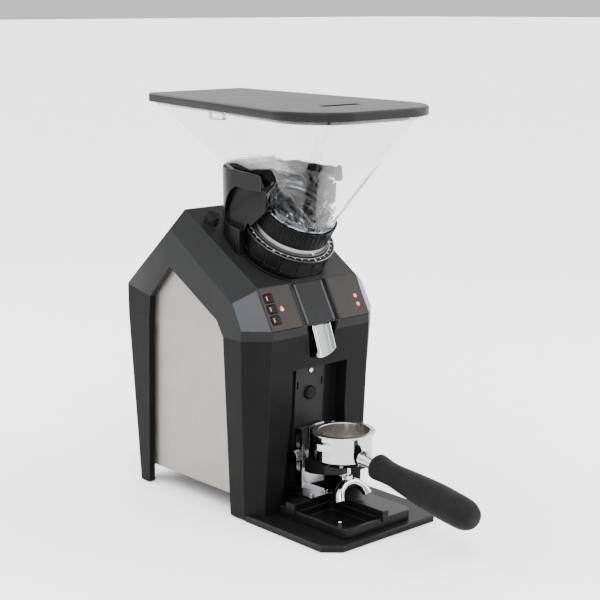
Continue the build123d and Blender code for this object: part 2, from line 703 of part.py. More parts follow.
frame_top = PANEL_LENGTH - 1.0
with BuildPart() as cover_frame:
    with BuildSketch(panel_plane.offset(-WALL)):
        with Locations((0, (frame_top + 1) / 2)):
            Rectangle(2 * (GLASS_INNER - 1.0), frame_top - 1)
            Rectangle(2 * (COVER_HALF + FIT_GAP), frame_top + 9, mode=Mode.SUBTRACT)
    extrude(amount=WALL)
    with BuildSketch(panel_plane):
        with Locations((0, (frame_top + 1) / 2)):
            Rectangle(2 * FRAME_STEP, frame_top + 9)
    extrude(amount=-1.2, mode=Mode.SUBTRACT)
    with BuildSketch(panel_plane.offset(-COVER_SINK - COVER_THICK - 2)):
        with Locations((0, (frame_top + 1) / 2)):
            Rectangle(2 * (GLASS_INNER - 1.0), frame_top - 1)
            Rectangle(2 * (COVER_HALF - 3), frame_top - 9, mode=Mode.SUBTRACT)
    extrude(amount=2 - FIT_GAP)
    for side in (-1, 1):
        with BuildSketch(panel_plane.offset(-COVER_SINK - COVER_THICK - 2)):
            with Locations((side * (GLASS_INNER + COVER_HALF - 0.7) / 2, (frame_top + 1) / 2)):
                Rectangle(GLASS_INNER - COVER_HALF - 1.3, frame_top - 1)
        extrude(amount=3)
save(cover_frame, "cover_frame")

with BuildPart() as chute_cover:
    with BuildSketch(panel_plane.offset(-COVER_SINK - COVER_THICK)):
        with Locations((0, (frame_top + 1) / 2)):
            Rectangle(2 * COVER_HALF, frame_top - 1.6)
    extrude(amount=COVER_THICK)
    chamfer(chute_cover.edges().group_by(SortBy.LENGTH)[-1].sort_by(Axis.Y)[:2], length=0.4)
save(chute_cover, "chute_cover")

# =================================================================== the spout
SPOUT_EDGE_Y = -3.0         # centre line of the trough level with its shortened edges
SPOUT_EDGE_Z = 198.0
SPOUT_TIP_RISE = 12.0        # rounded tip below the straight edges


def head_point(along, up):
    """Height and depth of a point given along the roof and up the head's axis."""
    return (AXIS_Y + along * cos(roof_angle) - up * sin(roof_angle),
            AXIS_Z + along * sin(roof_angle) + up * cos(roof_angle))


spout_angle = radians(SPOUT_TILT)
spout_plane = Plane(origin=(0, SPOUT_EDGE_Y, SPOUT_EDGE_Z), x_dir=(1, 0, 0),
                    z_dir=(0, sin(spout_angle), cos(spout_angle)))
spout_drop = SPOUT_EDGE_Z - SPOUT_FOOT_Z - SPOUT_TIP_RISE
panel_back = COVER_SINK + COVER_THICK + 2 + FIT_GAP


with BuildPart() as panel_cutter:
    with BuildSketch(panel_plane.offset(-panel_back)):
        with Locations((0, PANEL_LENGTH)):
            Rectangle(4 * GLASS_INNER, 2 * PANEL_LENGTH - 1)
    extrude(amount=6 * panel_back)

with BuildPart() as spout_housing:
    with BuildSketch(Plane.XZ):
        Polygon(*spout_outline)
    extrude(amount=-SPOUT_BOX_DEPTH)
    with BuildSketch(Plane.XZ.offset(5)):
        Polygon(*spout_outline)
        offset(amount=-SPOUT_BOX_WALL, kind=Kind.INTERSECTION)
    extrude(amount=-(5 + SPOUT_BOX_DEPTH - SPOUT_BOX_WALL), mode=Mode.SUBTRACT)
    with BuildSketch(Plane.XZ.offset(5)):
        with Locations((0, PANEL_FOOT[1])):
            Rectangle(2 * (SPOUT_BOX_TOP - SPOUT_BOX_WALL) - 0.8, 5)
    extrude(amount=-(5 + SPOUT_BOX_DEPTH - SPOUT_BOX_WALL), mode=Mode.SUBTRACT)
    with BuildSketch(side_plane):
        Polygon((-10, SEAM_Z + 20), (-10, SPOUT_BOX_Z - 10), (front_y(SPOUT_BOX_Z - 10), SPOUT_BOX_Z - 10),
                (0, SEAM_Z), PANEL_FOOT, (PANEL_FOOT[0], SEAM_Z + 20))
    extrude(amount=HALF_WIDTH, both=True, mode=Mode.SUBTRACT)
    with BuildSketch(spout_plane.offset(-SPOUT_LENGTH)):
        Circle(SPOUT_RADIUS + FIT_GAP)
    extrude(amount=2 * SPOUT_LENGTH, mode=Mode.SUBTRACT)
    add(panel_cutter.part, mode=Mode.SUBTRACT)
save(spout_housing, "spout_housing")

with BuildPart() as spout:
    with BuildSketch(spout_plane.offset(-30)):
        Circle(SPOUT_RADIUS)
        Circle(SPOUT_RADIUS - SPOUT_SHEET, mode=Mode.SUBTRACT)
        with Locations((0, -SPOUT_RADIUS / 2)):
            Rectangle(2 * SPOUT_RADIUS, SPOUT_RADIUS, mode=Mode.SUBTRACT)
    extrude(amount=SPOUT_LENGTH)
    with BuildSketch(side_plane):
        Polygon((SPOUT_EDGE_Y - spout_drop * tan(spout_angle), SPOUT_EDGE_Z - spout_drop),
                (front_y(SPOUT_FOOT_Z) - 0.5, SPOUT_FOOT_Z), (10, SPOUT_FOOT_Z - 20),
                (-60, SPOUT_FOOT_Z - 20), (-60, SPOUT_EDGE_Z - spout_drop))
    extrude(amount=HALF_WIDTH, both=True, mode=Mode.SUBTRACT)
    add(panel_cutter.part, mode=Mode.SUBTRACT)
save(spout, "spout")

DUCT_HALF = 15.0
DUCT_WALL = 2.0
DUCT_TOP = -20.0
DUCT_BOTTOM = -44.0
duct_depth = COVER_SINK + COVER_THICK + 2 + 0.5
duct_floor_z = PANEL_FOOT[1] + 1.2


def duct_form(wall):
    """Side profile of the outlet duct, drawn in by its wall."""
    depth = (duct_depth + wall) / sin(panel_angle)
    floor_front = PANEL_FOOT[0] + depth + (duct_floor_z - PANEL_FOOT[1]) * PANEL_RUN / PANEL_RISE
    top = head_point(-40, DUCT_TOP - wall)
    slope = tan(roof_angle)
    lean = PANEL_RUN / PANEL_RISE
    shift = (top[1] - duct_floor_z) - (top[0] - floor_front) * slope
    head_y = floor_front + lean * shift / (1 - lean * slope)
    head_z = top[1] - (top[0] - head_y) * slope
    foot = head_point(-40, DUCT_BOTTOM + wall)
    foot_y = foot[0] - (foot[1] - duct_floor_z) / slope
    return [(floor_front, duct_floor_z - (1 if wall else 0)), (head_y, head_z), top, foot,
            (foot_y, duct_floor_z), (foot_y, duct_floor_z - (1 if wall else 0))]


with BuildPart() as outlet_duct:
    with BuildSketch(side_plane):
        Polygon(*duct_form(0))
    extrude(amount=DUCT_HALF, both=True)
    with BuildSketch(side_plane):
        Polygon(*duct_form(DUCT_WALL))
    extrude(amount=DUCT_HALF - DUCT_WALL, both=True, mode=Mode.SUBTRACT)
    with BuildSketch(axis_plane.offset(CHAMBER_BOTTOM - 10)):
        Circle(CHAMBER_RADIUS + 0.05)
    extrude(amount=80, mode=Mode.SUBTRACT)
save(outlet_duct, "outlet_duct")

# ============================================================ grinding head, fixed
with BuildPart() as grinding_chamber:
    with BuildSketch(axis_plane.offset(CHAMBER_BOTTOM)):
        Circle(CHAMBER_RADIUS)
    extrude(amount=-CHAMBER_BOTTOM)
    with BuildSketch(axis_plane.offset(CHAMBER_BOTTOM + CHAMBER_WALL)):
        Circle(CHAMBER_RADIUS - CHAMBER_WALL)
    extrude(amount=-CHAMBER_BOTTOM, mode=Mode.SUBTRACT)
    with BuildSketch(axis_plane.offset(CHAMBER_BOTTOM)):
        Circle(SHAFT_RADIUS + 1)
    extrude(amount=CHAMBER_WALL, mode=Mode.SUBTRACT)
    with BuildSketch(axis_plane.offset(DUCT_BOTTOM + DUCT_WALL)):
        with Locations((0, -CHAMBER_RADIUS)):
            Rectangle(2 * (DUCT_HALF - DUCT_WALL), 24)
    extrude(amount=DUCT_TOP - DUCT_BOTTOM - 2 * DUCT_WALL, mode=Mode.SUBTRACT)
save(grinding_chamber, "grinding_chamber")

with BuildPart() as roof_flange:
    with BuildSketch(axis_plane):
        Circle(FLANGE_RADIUS)
        Circle(TOWER_RADIUS + 0.02, mode=Mode.SUBTRACT)
    extrude(amount=FLANGE_THICK)
    with BuildSketch(side_plane):
        Polygon((PANEL_HEAD[0] + 0.4, PANEL_HEAD[1] - 40), (PANEL_HEAD[0] + 0.4, PANEL_HEAD[1] + 40),
                (-60, PANEL_HEAD[1] + 40), (-60, PANEL_HEAD[1] - 40))
    extrude(amount=HALF_WIDTH, both=True, mode=Mode.SUBTRACT)
save(roof_flange, "roof_flange")

TOWER_NECK_RADIUS = COLLAR_RADIUS - COLLAR_WALL - FIT_GAP
TOWER_NECK_BORE = NECK_RADIUS + 0.5
TOWER_NECK_TOP = 52.0
with BuildPart() as burr_tower:
    with BuildSketch(axis_plane):
        Circle(TOWER_RADIUS)
        Circle(TOWER_RADIUS - TOWER_WALL, mode=Mode.SUBTRACT)
    extrude(amount=TOWER_TOP)
    with BuildSketch(axis_plane.offset(TOWER_TOP - 2)):
        Circle(TOWER_RADIUS)
        Circle(TOWER_NECK_BORE, mode=Mode.SUBTRACT)
    extrude(amount=2)
    with BuildSketch(axis_plane.offset(TOWER_TOP)):
        Circle(TOWER_NECK_RADIUS)
        Circle(TOWER_NECK_BORE, mode=Mode.SUBTRACT)
    extrude(amount=TOWER_NECK_TOP - TOWER_TOP)
save(burr_tower, "burr_tower")

with BuildPart() as index_ring:
    with BuildSketch(axis_plane.offset(DIAL_TOP + SCALE_THICK + 0.3)):
        Circle(INDEX_RADIUS)
        Circle(TOWER_RADIUS + 0.02, mode=Mode.SUBTRACT)
    extrude(amount=INDEX_TOP - DIAL_TOP - SCALE_THICK - 0.3)
    chamfer(index_ring.faces().sort_by(SortBy.DISTANCE)[-1].edges().sort_by(SortBy.LENGTH)[-1:],
            length=0.6)
save(index_ring, "index_ring")

# ==================================================== dial and the burr it moves
facet_width = 2 * DIAL_RADIUS * sin(radians(180 / DIAL_FACETS)) * 0.8
facet_height = (DIAL_TOP - DIAL_BOTTOM) * 0.66
with BuildPart() as adjustment_dial:
    with BuildSketch(axis_plane.offset(DIAL_BOTTOM)):
        Circle(DIAL_FOOT_RADIUS)
    with BuildSketch(axis_plane.offset(DIAL_TOP)):
        Circle(DIAL_RADIUS)
    loft()
    with BuildSketch(axis_plane):
        Circle(TOWER_RADIUS + DIAL_GAP)
    extrude(amount=DIAL_TOP + 10, mode=Mode.SUBTRACT)
    for facet in range(DIAL_FACETS):
        turn = radians(360 * (facet + 0.5) / DIAL_FACETS)
        radial = axis_plane.x_dir * cos(turn) + axis_plane.y_dir * sin(turn)
        middle = axis_plane.origin + axis_plane.z_dir * (DIAL_BOTTOM + DIAL_TOP) / 2
        facet_face = Plane(origin=middle + radial * (DIAL_RADIUS + 5), z_dir=radial,
                           x_dir=axis_plane.z_dir)
        with BuildSketch(facet_face):
            RectangleRounded(facet_height, facet_width, 2.0)
        extrude(amount=-7.6, mode=Mode.SUBTRACT)
save(adjustment_dial, "adjustment_dial")

upper_burr_bottom = BURR_PLANE + BURR_GAP
with BuildPart() as upper_burr_carrier:
    with BuildSketch(axis_plane.offset(upper_burr_bottom + BURR_THICK)):
        Circle(CARRIER_RADIUS)
        Circle(BURR_BORE + 4, mode=Mode.SUBTRACT)
    extrude(amount=CARRIER_TOP - upper_burr_bottom - BURR_THICK)
    with BuildSketch(axis_plane.offset(CARRIER_TOP - 10)):
        Circle(CARRIER_RADIUS - 3)
    extrude(amount=20, mode=Mode.SUBTRACT)
save(upper_burr_carrier, "upper_burr_carrier")

BURR_GROOVES = 12


def burr(bottom, teeth_up):
    """Flat burr ring with cutting grooves on one face."""
    face_at = bottom + BURR_THICK - 1.2 if teeth_up else bottom
    with BuildPart() as ring:
        with BuildSketch(axis_plane.offset(bottom)):
            Circle(BURR_RADIUS)
            Circle(BURR_BORE, mode=Mode.SUBTRACT)
        extrude(amount=BURR_THICK)
        with BuildSketch(axis_plane.offset(face_at)):
            with PolarLocations((BURR_RADIUS + BURR_BORE) / 2, BURR_GROOVES):
                Rectangle(BURR_RADIUS - BURR_BORE + 4, 2.4, rotation=24)
        extrude(amount=1.2, mode=Mode.SUBTRACT)
    return ring


save(burr(upper_burr_bottom, False), "upper_burr")

# ===================================================================== the rotor
save(burr(BURR_PLANE - BURR_THICK, True), "lower_burr")

with BuildPart() as lower_burr_carrier:
    with BuildSketch(axis_plane.offset(BURR_PLANE - BURR_THICK - 8)):
        Circle(BURR_RADIUS + 2)
        Circle(SHAFT_RADIUS + 0.02, mode=Mode.SUBTRACT)
    extrude(amount=8)
    with BuildSketch(axis_plane.offset(BURR_PLANE - BURR_THICK - 14)):
        with PolarLocations(BURR_RADIUS - 6, 3):
            Rectangle(20, 4)
    extrude(amount=6)
save(lower_burr_carrier, "lower_burr_carrier")

with BuildPart() as motor_shaft:
    with BuildSketch(axis_plane.offset(MOTOR_BOTTOM - 22)):
        Circle(SHAFT_RADIUS)
    extrude(amount=BURR_PLANE + 4 - MOTOR_BOTTOM + 22)
    with BuildSketch(axis_plane.offset(BURR_PLANE - BURR_THICK + 0.02)):
        RegularPolygon(10, 6)
    extrude(amount=8)
save(motor_shaft, "motor_shaft")

with BuildPart() as rotor_core:
    with BuildSketch(axis_plane.offset(MOTOR_BOTTOM + 16)):
        Circle(24)
        Circle(SHAFT_RADIUS + 0.02, mode=Mode.SUBTRACT)
    extrude(amount=MOTOR_TOP - MOTOR_BOTTOM - 32)
save(rotor_core, "rotor_core")

with BuildPart() as cooling_fan:
    with BuildSketch(axis_plane.offset(MOTOR_BOTTOM - 18)):
        Circle(12)
        Circle(SHAFT_RADIUS + 0.02, mode=Mode.SUBTRACT)
    extrude(amount=FAN_THICK)
    with BuildSketch(axis_plane.offset(MOTOR_BOTTOM - 16)):
        with PolarLocations((FAN_RADIUS + 10) / 2, FAN_BLADES):
            Rectangle(FAN_RADIUS - 10, 6, rotation=20)
    extrude(amount=2)
save(cooling_fan, "cooling_fan")

# ===================================================================== the motor
with BuildPart() as motor_body:
    with BuildSketch(axis_plane.offset(MOTOR_BOTTOM)):
        Circle(MOTOR_RADIUS)
    extrude(amount=MOTOR_TOP - MOTOR_BOTTOM)
    with BuildSketch(axis_plane.offset(MOTOR_BOTTOM + BEARING_THICK + 2)):
        Circle(MOTOR_RADIUS - MOTOR_WALL)
    extrude(amount=MOTOR_TOP - MOTOR_BOTTOM - 2 * BEARING_THICK - 4, mode=Mode.SUBTRACT)
    with BuildSketch(axis_plane.offset(MOTOR_BOTTOM)):
        Circle(BEARING_RADIUS + 0.02)
    extrude(amount=MOTOR_TOP - MOTOR_BOTTOM, mode=Mode.SUBTRACT)
save(motor_body, "motor_body")

with BuildPart() as motor_stator:
    with BuildSketch(axis_plane.offset(MOTOR_BOTTOM + 14)):
        Circle(MOTOR_RADIUS - MOTOR_WALL - 0.02)
        Circle(25, mode=Mode.SUBTRACT)
    extrude(amount=MOTOR_TOP - MOTOR_BOTTOM - 28)
save(motor_stator, "motor_stator")

with BuildPart() as motor_bearings:
    for bottom in (MOTOR_TOP - BEARING_THICK, MOTOR_BOTTOM):
        with BuildSketch(axis_plane.offset(bottom)):
            Circle(BEARING_RADIUS)
            Circle(SHAFT_RADIUS + SHAFT_FIT, mode=Mode.SUBTRACT)
        extrude(amount=BEARING_THICK)
save(motor_bearings, "motor_bearings")

with BuildPart() as motor_mount:
    with BuildSketch(axis_plane.offset(MOTOR_TOP)):
        RectangleRounded(2 * MOTOR_RADIUS + 12, 2 * MOTOR_RADIUS - 6, 8)
        Circle(BEARING_RADIUS + 0.5, mode=Mode.SUBTRACT)
    extrude(amount=CHAMBER_BOTTOM - MOTOR_TOP)
save(motor_mount, "motor_mount")

# ================================================================ hopper and lid
with BuildPart() as lock_collar:
    with BuildSketch(axis_plane.offset(COLLAR_BOTTOM)):
        Circle(COLLAR_FOOT_RADIUS)
    with BuildSketch(axis_plane.offset(COLLAR_TOP)):
        Circle(COLLAR_RADIUS)
    loft()
    with BuildSketch(axis_plane.offset(COLLAR_BOTTOM)):
        Circle(COLLAR_RADIUS - COLLAR_WALL)
    extrude(amount=COLLAR_TOP, mode=Mode.SUBTRACT)
    with BuildSketch(axis_plane.offset(COLLAR_BOTTOM + 4)):
        with PolarLocations(COLLAR_RADIUS + 0.4, COLLAR_RIBS):
            Rectangle(4.0, 2.9)
    extrude(amount=COLLAR_TOP - COLLAR_BOTTOM - 6, mode=Mode.SUBTRACT)
save(lock_collar, "lock_collar")

LATCH_ANGLE = -80.0
LATCH_TRAVEL = 1.5
latch_turn = radians(LATCH_ANGLE)
latch_radial = axis_plane.x_dir * cos(latch_turn) + axis_plane.y_dir * sin(latch_turn)
latch_plane = Plane(origin=axis_plane.origin + axis_plane.z_dir * (COLLAR_TOP - 7)
                    + latch_radial * (COLLAR_RADIUS + LATCH_TRAVEL + 0.4),
                    x_dir=axis_plane.z_dir, z_dir=latch_radial)
with BuildPart() as collar_latch:
    with BuildSketch(latch_plane):
        RectangleRounded(9, 6, 1)
    extrude(amount=2.2)
save(collar_latch, "collar_latch")


lid_tilt = radians(LID_TILT)
lid_plane = Plane(origin=(0, LID_FRONT_Y, LID_BOTTOM_Z), x_dir=(1, 0, 0),
                  z_dir=(0, -sin(lid_tilt), cos(lid_tilt)))
lid_length = LID_REAR_Y - LID_FRONT_Y


def outline_points(front_half, rear_half, front, rear, front_radius, rear_radius):
    """Edges of a trapezoid with rounded corners: four lines and four arcs, always in one order."""
    corners = [Vector(-front_half, front), Vector(front_half, front), Vector(rear_half, rear),
               Vector(-rear_half, rear)]
    radii = (front_radius, front_radius, rear_radius, rear_radius)
    cuts = []
    for number, corner in enumerate(corners):
        to_last = (corners[number - 1] - corner).normalized()
        to_next = (corners[(number + 1) % 4] - corner).normalized()
        half_angle = to_last.get_angle(to_next) / 2
        reach = radii[number] / tan(radians(half_angle))
        middle = (to_last + to_next).normalized()
        depth = radii[number] / sin(radians(half_angle)) - radii[number]
        cuts.append((corner + to_last * reach, corner + middle * depth, corner + to_next * reach))
    return cuts


def outline_sketch(plane, *sizes):
    """Face of that outline on a plane."""
    cuts = outline_points(*sizes)
    with BuildSketch(plane) as outline:
        with BuildLine():
            for number, (start, middle, end) in enumerate(cuts):
                ThreePointArc(start, middle, end)
                Line(end, cuts[(number + 1) % 4][0])
        make_face()
    return outline.sketch


def funnel(inset, neck_radius, rim_rise):
    """Hopper funnel from the neck's circle over the knee outline to the rim outline."""
    rim = inset + HOPPER_INSET
    near_circle = neck_radius - 1
    faces = (outline_sketch(axis_plane.offset(NECK_TOP - 2), neck_radius, neck_radius,
                            -neck_radius, neck_radius, near_circle, near_circle),
             outline_sketch(Plane.XY.offset(KNEE_Z), KNEE_FRONT_HALF - inset,
                            KNEE_REAR_HALF - inset, KNEE_FRONT_Y + inset, KNEE_REAR_Y - inset,
                            KNEE_FRONT_RADIUS - inset, KNEE_REAR_RADIUS - inset),
             outline_sketch(lid_plane.offset(rim_rise), LID_FRONT_HALF - rim, LID_REAR_HALF - rim,
                            rim, lid_length - rim,
                            LID_FRONT_RADIUS - rim, LID_REAR_RADIUS - rim + 3))
    with BuildPart() as form:
        loft(sections=faces, ruled=True)
    return form.part


funnel_outer = funnel(0, CROWN_RADIUS - 0.6, -FIT_GAP)
funnel_inner = funnel(HOPPER_WALL, NECK_RADIUS - NECK_WALL - 0.6, 0.5)
with BuildPart() as hopper:
    add(funnel_outer)
    with BuildSketch(axis_plane.offset(NECK_BOTTOM)):
        Circle(NECK_RADIUS)
    extrude(amount=NECK_TOP - NECK_BOTTOM)
    with BuildSketch(axis_plane.offset(CROWN_BOTTOM)):
        Circle(CROWN_RADIUS)
    extrude(amount=NECK_TOP - CROWN_BOTTOM)
    with BuildSketch(axis_plane.offset(CROWN_BOTTOM)):
        with PolarLocations(CROWN_RADIUS, CROWN_TEETH):
            Rectangle(2.4, 14)
    extrude(amount=NECK_TOP - CROWN_BOTTOM - 3, mode=Mode.SUBTRACT)
    add(funnel_inner, mode=Mode.SUBTRACT)
    with BuildSketch(axis_plane.offset(NECK_BOTTOM - 5)):
        Circle(NECK_RADIUS - NECK_WALL)
    extrude(amount=NECK_TOP - NECK_BOTTOM + 4, mode=Mode.SUBTRACT)
save(hopper, "hopper")

GATE_LEVEL = 48.0
GATE_THICK = 2.0
gate_radius = NECK_RADIUS - NECK_WALL - FIT_GAP
with BuildPart() as hopper_gate:
    with BuildSketch(axis_plane.offset(GATE_LEVEL)):
        Circle(gate_radius)
        for side in (-1, 1):
            with Locations((side * gate_radius / 2, 0)):
                SlotOverall(gate_radius * 0.8, gate_radius * 0.62, rotation=90,
                            mode=Mode.SUBTRACT)
    extrude(amount=GATE_THICK)
    with BuildSketch(axis_plane.offset(GATE_LEVEL + GATE_THICK)):
        Rectangle(5, 1.6 * gate_radius)
    extrude(amount=8)
save(hopper_gate, "hopper_gate")

def lid_outline(rise, inset):
    """Outline of the lid, drawn in by an inset, at a height over its underside."""
    return outline_sketch(lid_plane.offset(rise), LID_FRONT_HALF - inset, LID_REAR_HALF - inset,
                          inset, lid_length - inset, LID_FRONT_RADIUS - inset / 2,
                          LID_REAR_RADIUS)


with BuildPart() as hopper_lid:
    add(lid_outline(0, 0))
    extrude(amount=LID_THICK)
    fillet(hopper_lid.faces().sort_by(Axis.Z)[-1].edges(), radius=2.6)
    add(lid_outline(0, LID_LIP_INSET))
    extrude(amount=-LID_LIP_DEPTH)
    add(lid_outline(-LID_LIP_DEPTH, LID_LIP_INSET + 2))
    extrude(amount=LID_LIP_DEPTH, mode=Mode.SUBTRACT)
    with BuildSketch(lid_plane.offset(LID_THICK)):
        with Locations((0, LID_SLOT_Y - LID_FRONT_Y)):
            RectangleRounded(LID_SLOT_LENGTH, LID_SLOT_WIDTH, LID_SLOT_WIDTH / 4)
    extrude(amount=-(LID_THICK - 2), mode=Mode.SUBTRACT)
save(hopper_lid, "hopper_lid")

# ====================================================================== cradle
funnel_clear = funnel(-1.5, CROWN_RADIUS + 1.5, 0)
with BuildPart() as hopper_cradle:
    with BuildSketch(Plane.XY.offset(AXIS_Z - 10)) as cradle_plan:
        Polygon((-CRADLE_HALF, CRADLE_FRONT_Y), (CRADLE_HALF, CRADLE_FRONT_Y),
                (CRADLE_HALF, CRADLE_REAR_Y), (-CRADLE_HALF, CRADLE_REAR_Y))
        fillet(cradle_plan.vertices().group_by(Axis.Y)[-1], radius=CRADLE_CORNER)
        with BuildSketch(Plane.XY.offset(AXIS_Z - 10), mode=Mode.SUBTRACT) as cradle_inside:
            Polygon((-CRADLE_HALF + CRADLE_WALL, CRADLE_FRONT_Y - 20),
                    (CRADLE_HALF - CRADLE_WALL, CRADLE_FRONT_Y - 20),
                    (CRADLE_HALF - CRADLE_WALL, CRADLE_REAR_Y - CRADLE_WALL),
                    (-CRADLE_HALF + CRADLE_WALL, CRADLE_REAR_Y - CRADLE_WALL))
            fillet(cradle_inside.vertices().group_by(Axis.Y)[-1],
                   radius=CRADLE_CORNER - CRADLE_WALL)
    extrude(amount=CRADLE_TOP_Z - AXIS_Z + 20)
    foot_front = head_point(CRADLE_FOOT_FRONT, 0)
    foot_rear = head_point(CRADLE_FOOT_REAR, 0)
    arm_bottom_z = CRADLE_ARM_TOP_Z - CRADLE_ARM_DEPTH
    with BuildSketch(side_plane):
        with BuildLine():
            Polyline(foot_front, (66, 310), CRADLE_FIN_FOOT)
            ThreePointArc(CRADLE_FIN_FOOT, (90, 341), CRADLE_FIN_TOP)
            Polyline(CRADLE_FIN_TOP, (CRADLE_FRONT_Y, arm_bottom_z),
                     (CRADLE_FRONT_Y, CRADLE_ARM_TOP_Z), (91, CRADLE_TOP_Z - 4),
                     (CRADLE_REAR_Y, CRADLE_TOP_Z), foot_rear, foot_front)
        make_face()
    extrude(amount=HALF_WIDTH, both=True, mode=Mode.INTERSECT)
    for side in (-1, 1):
        fin_middle = side * (CRADLE_HALF - CRADLE_FIN_INSET - CRADLE_FIN_THICK / 2)
        with BuildSketch(side_plane.offset(fin_middle)):
            Polygon((CRADLE_FIN_TOP[0] + 6, CRADLE_FIN_TOP[1] + 3),
                    (CRADLE_FRONT_Y + 1, arm_bottom_z + 2), (CRADLE_FRONT_Y + 4, 331), (66, 309),
                    (CRADLE_FIN_FOOT[0] + 4, CRADLE_FIN_FOOT[1] - 1))
        extrude(amount=CRADLE_FIN_THICK / 2, both=True)
    with BuildSketch(axis_plane.offset(-5)):
        Circle(FLANGE_RADIUS + 1.2)
    extrude(amount=TOWER_TOP + 5, mode=Mode.SUBTRACT)
    with BuildSketch(axis_plane.offset(TOWER_TOP - 2)):
        Circle(COLLAR_RADIUS + 2)
    extrude(amount=NECK_TOP, mode=Mode.SUBTRACT)
    add(funnel_clear, mode=Mode.SUBTRACT)
save(hopper_cradle, "hopper_cradle")

KNOB_RADIUS = 8.0
KNOB_HEIGHT = 10.0
KNOB_RIBS = 18
knob_at = (-54.0, 64.6)
with BuildPart() as cradle_knob:
    with BuildSketch(axis_plane):
        with Locations(knob_at):
            Circle(KNOB_RADIUS)
    extrude(amount=KNOB_HEIGHT)
    with BuildSketch(axis_plane.offset(1.5)):
        with Locations(knob_at):
            with PolarLocations(KNOB_RADIUS, KNOB_RIBS):
                Rectangle(1.6, 1.2)
    extrude(amount=KNOB_HEIGHT, mode=Mode.SUBTRACT)
save(cradle_knob, "cradle_knob")

# ============================================================== service plate
service_plane = front_plane.offset(-RECESS_DEPTH)
with BuildPart() as service_plate:
    with BuildSketch(service_plane):
        with Locations((0, down_front((SERVICE_TOP + SERVICE_BOTTOM) / 2))):
            Rectangle(2 * SERVICE_HALF, SERVICE_TOP - SERVICE_BOTTOM)
        with Locations((-SLOT_X, down_front(SLOT_Z)), (SLOT_X, down_front(SLOT_Z))):
            Rectangle(SLOT_WIDTH, SLOT_HEIGHT, mode=Mode.SUBTRACT)
        with Locations((0, down_front(START_Z))):
            Circle(START_RADIUS + FIT_GAP, mode=Mode.SUBTRACT)
        with Locations((0, down_front(SERVICE_TOP - 3.5))):
            Circle(1.6, mode=Mode.SUBTRACT)
    extrude(amount=SERVICE_THICK)
save(service_plate, "service_plate")

with BuildPart() as start_button:
    with BuildSketch(service_plane.offset(-4)):
        with Locations((0, down_front(START_Z))):
            Circle(START_RADIUS)
    extrude(amount=SERVICE_THICK + 4 + START_TRAVEL + 1.0)
    fillet(start_button.edges().sort_by(Axis.Y)[:1], radius=2.4)
save(start_button, "start_button")

# ============================================================ holder for the basket
HOLDER_BACK_Y = 21.5
SLOT_FOOT_Z = 46.0
SLOT_HEAD_Z = 88.0
FOOT_LEFT = -34.0
FOOT_RIGHT = -3.0
FOOT_FRONT_Y = -20.0
with BuildPart() as holder_bracket:
    with BuildSketch(Plane.XY.offset(HOLDER_FOOT_Z)):
        with Locations((-HOLDER_X + HOLDER_SHEET / 2, (HOLDER_FRONT_Y + HOLDER_BACK_Y) / 2)):
            Rectangle(HOLDER_SHEET, HOLDER_BACK_Y - HOLDER_FRONT_Y)
        with Locations((0, HOLDER_BACK_Y - HOLDER_SHEET / 2)):
            Rectangle(2 * HOLDER_X, HOLDER_SHEET)
    extrude(amount=HOLDER_TOP_Z - HOLDER_FOOT_Z)
    with BuildSketch(Plane.XY.offset(HOLDER_FOOT_Z)):
        with Locations(((FOOT_LEFT + FOOT_RIGHT) / 2, (FOOT_FRONT_Y + HOLDER_BACK_Y) / 2)):
            Rectangle(FOOT_RIGHT - FOOT_LEFT, HOLDER_BACK_Y - FOOT_FRONT_Y)
    extrude(amount=HOLDER_SHEET)
    with BuildSketch(side_plane.offset(-HOLDER_X - 2)):
        with Locations((THUMB_Y, (SLOT_FOOT_Z + SLOT_HEAD_Z) / 2)):
            SlotOverall(SLOT_HEAD_Z - SLOT_FOOT_Z, 5.2, rotation=90)
    extrude(amount=HOLDER_SHEET + 3.9, mode=Mode.SUBTRACT)
save(holder_bracket, "holder_bracket")

with BuildPart() as panel_screws:
    with BuildSketch(Plane.XY.offset(HOLDER_FOOT_Z + HOLDER_SHEET)):
        with Locations((FOOT_LEFT + 6, FOOT_FRONT_Y + 7), (FOOT_RIGHT - 6, FOOT_FRONT_Y + 7)):
            RegularPolygon(3.4, 6)
    extrude(amount=2.4)
    with BuildSketch(service_plane.offset(SERVICE_THICK)):
        with Locations((0, down_front(SERVICE_TOP - 3.5))):
            Circle(2.6)
    extrude(amount=1.4)
    with BuildSketch(service_plane.offset(SERVICE_THICK)):
        with Locations((0, down_front(SERVICE_TOP - 3.5))):
            Circle(1.55)
    extrude(amount=-SERVICE_THICK)
save(panel_screws, "panel_screws")

with BuildPart() as fork_carriage:
    with BuildSketch(Plane.XZ.offset(-BACKSTOP_Y)):
        with Locations((2, (FORK_TOP_Z - FORK_THICK + BACKSTOP_TOP_Z) / 2)):
            Rectangle(36, BACKSTOP_TOP_Z - FORK_TOP_Z + FORK_THICK)
    extrude(amount=-HOLDER_SHEET)
    with BuildSketch(side_plane.offset(-HOLDER_X + HOLDER_SHEET + 0.2)):
        with Locations(((BACKSTOP_Y + HOLDER_BACK_Y - HOLDER_SHEET - 0.3) / 2, THUMB_Z)):
            Rectangle(HOLDER_BACK_Y - HOLDER_SHEET - 0.3 - BACKSTOP_Y, 26)
        with Locations((THUMB_Y, THUMB_Z)):
            Circle(2.4, mode=Mode.SUBTRACT)
    extrude(amount=HOLDER_SHEET)
save(fork_carriage, "fork_carriage")

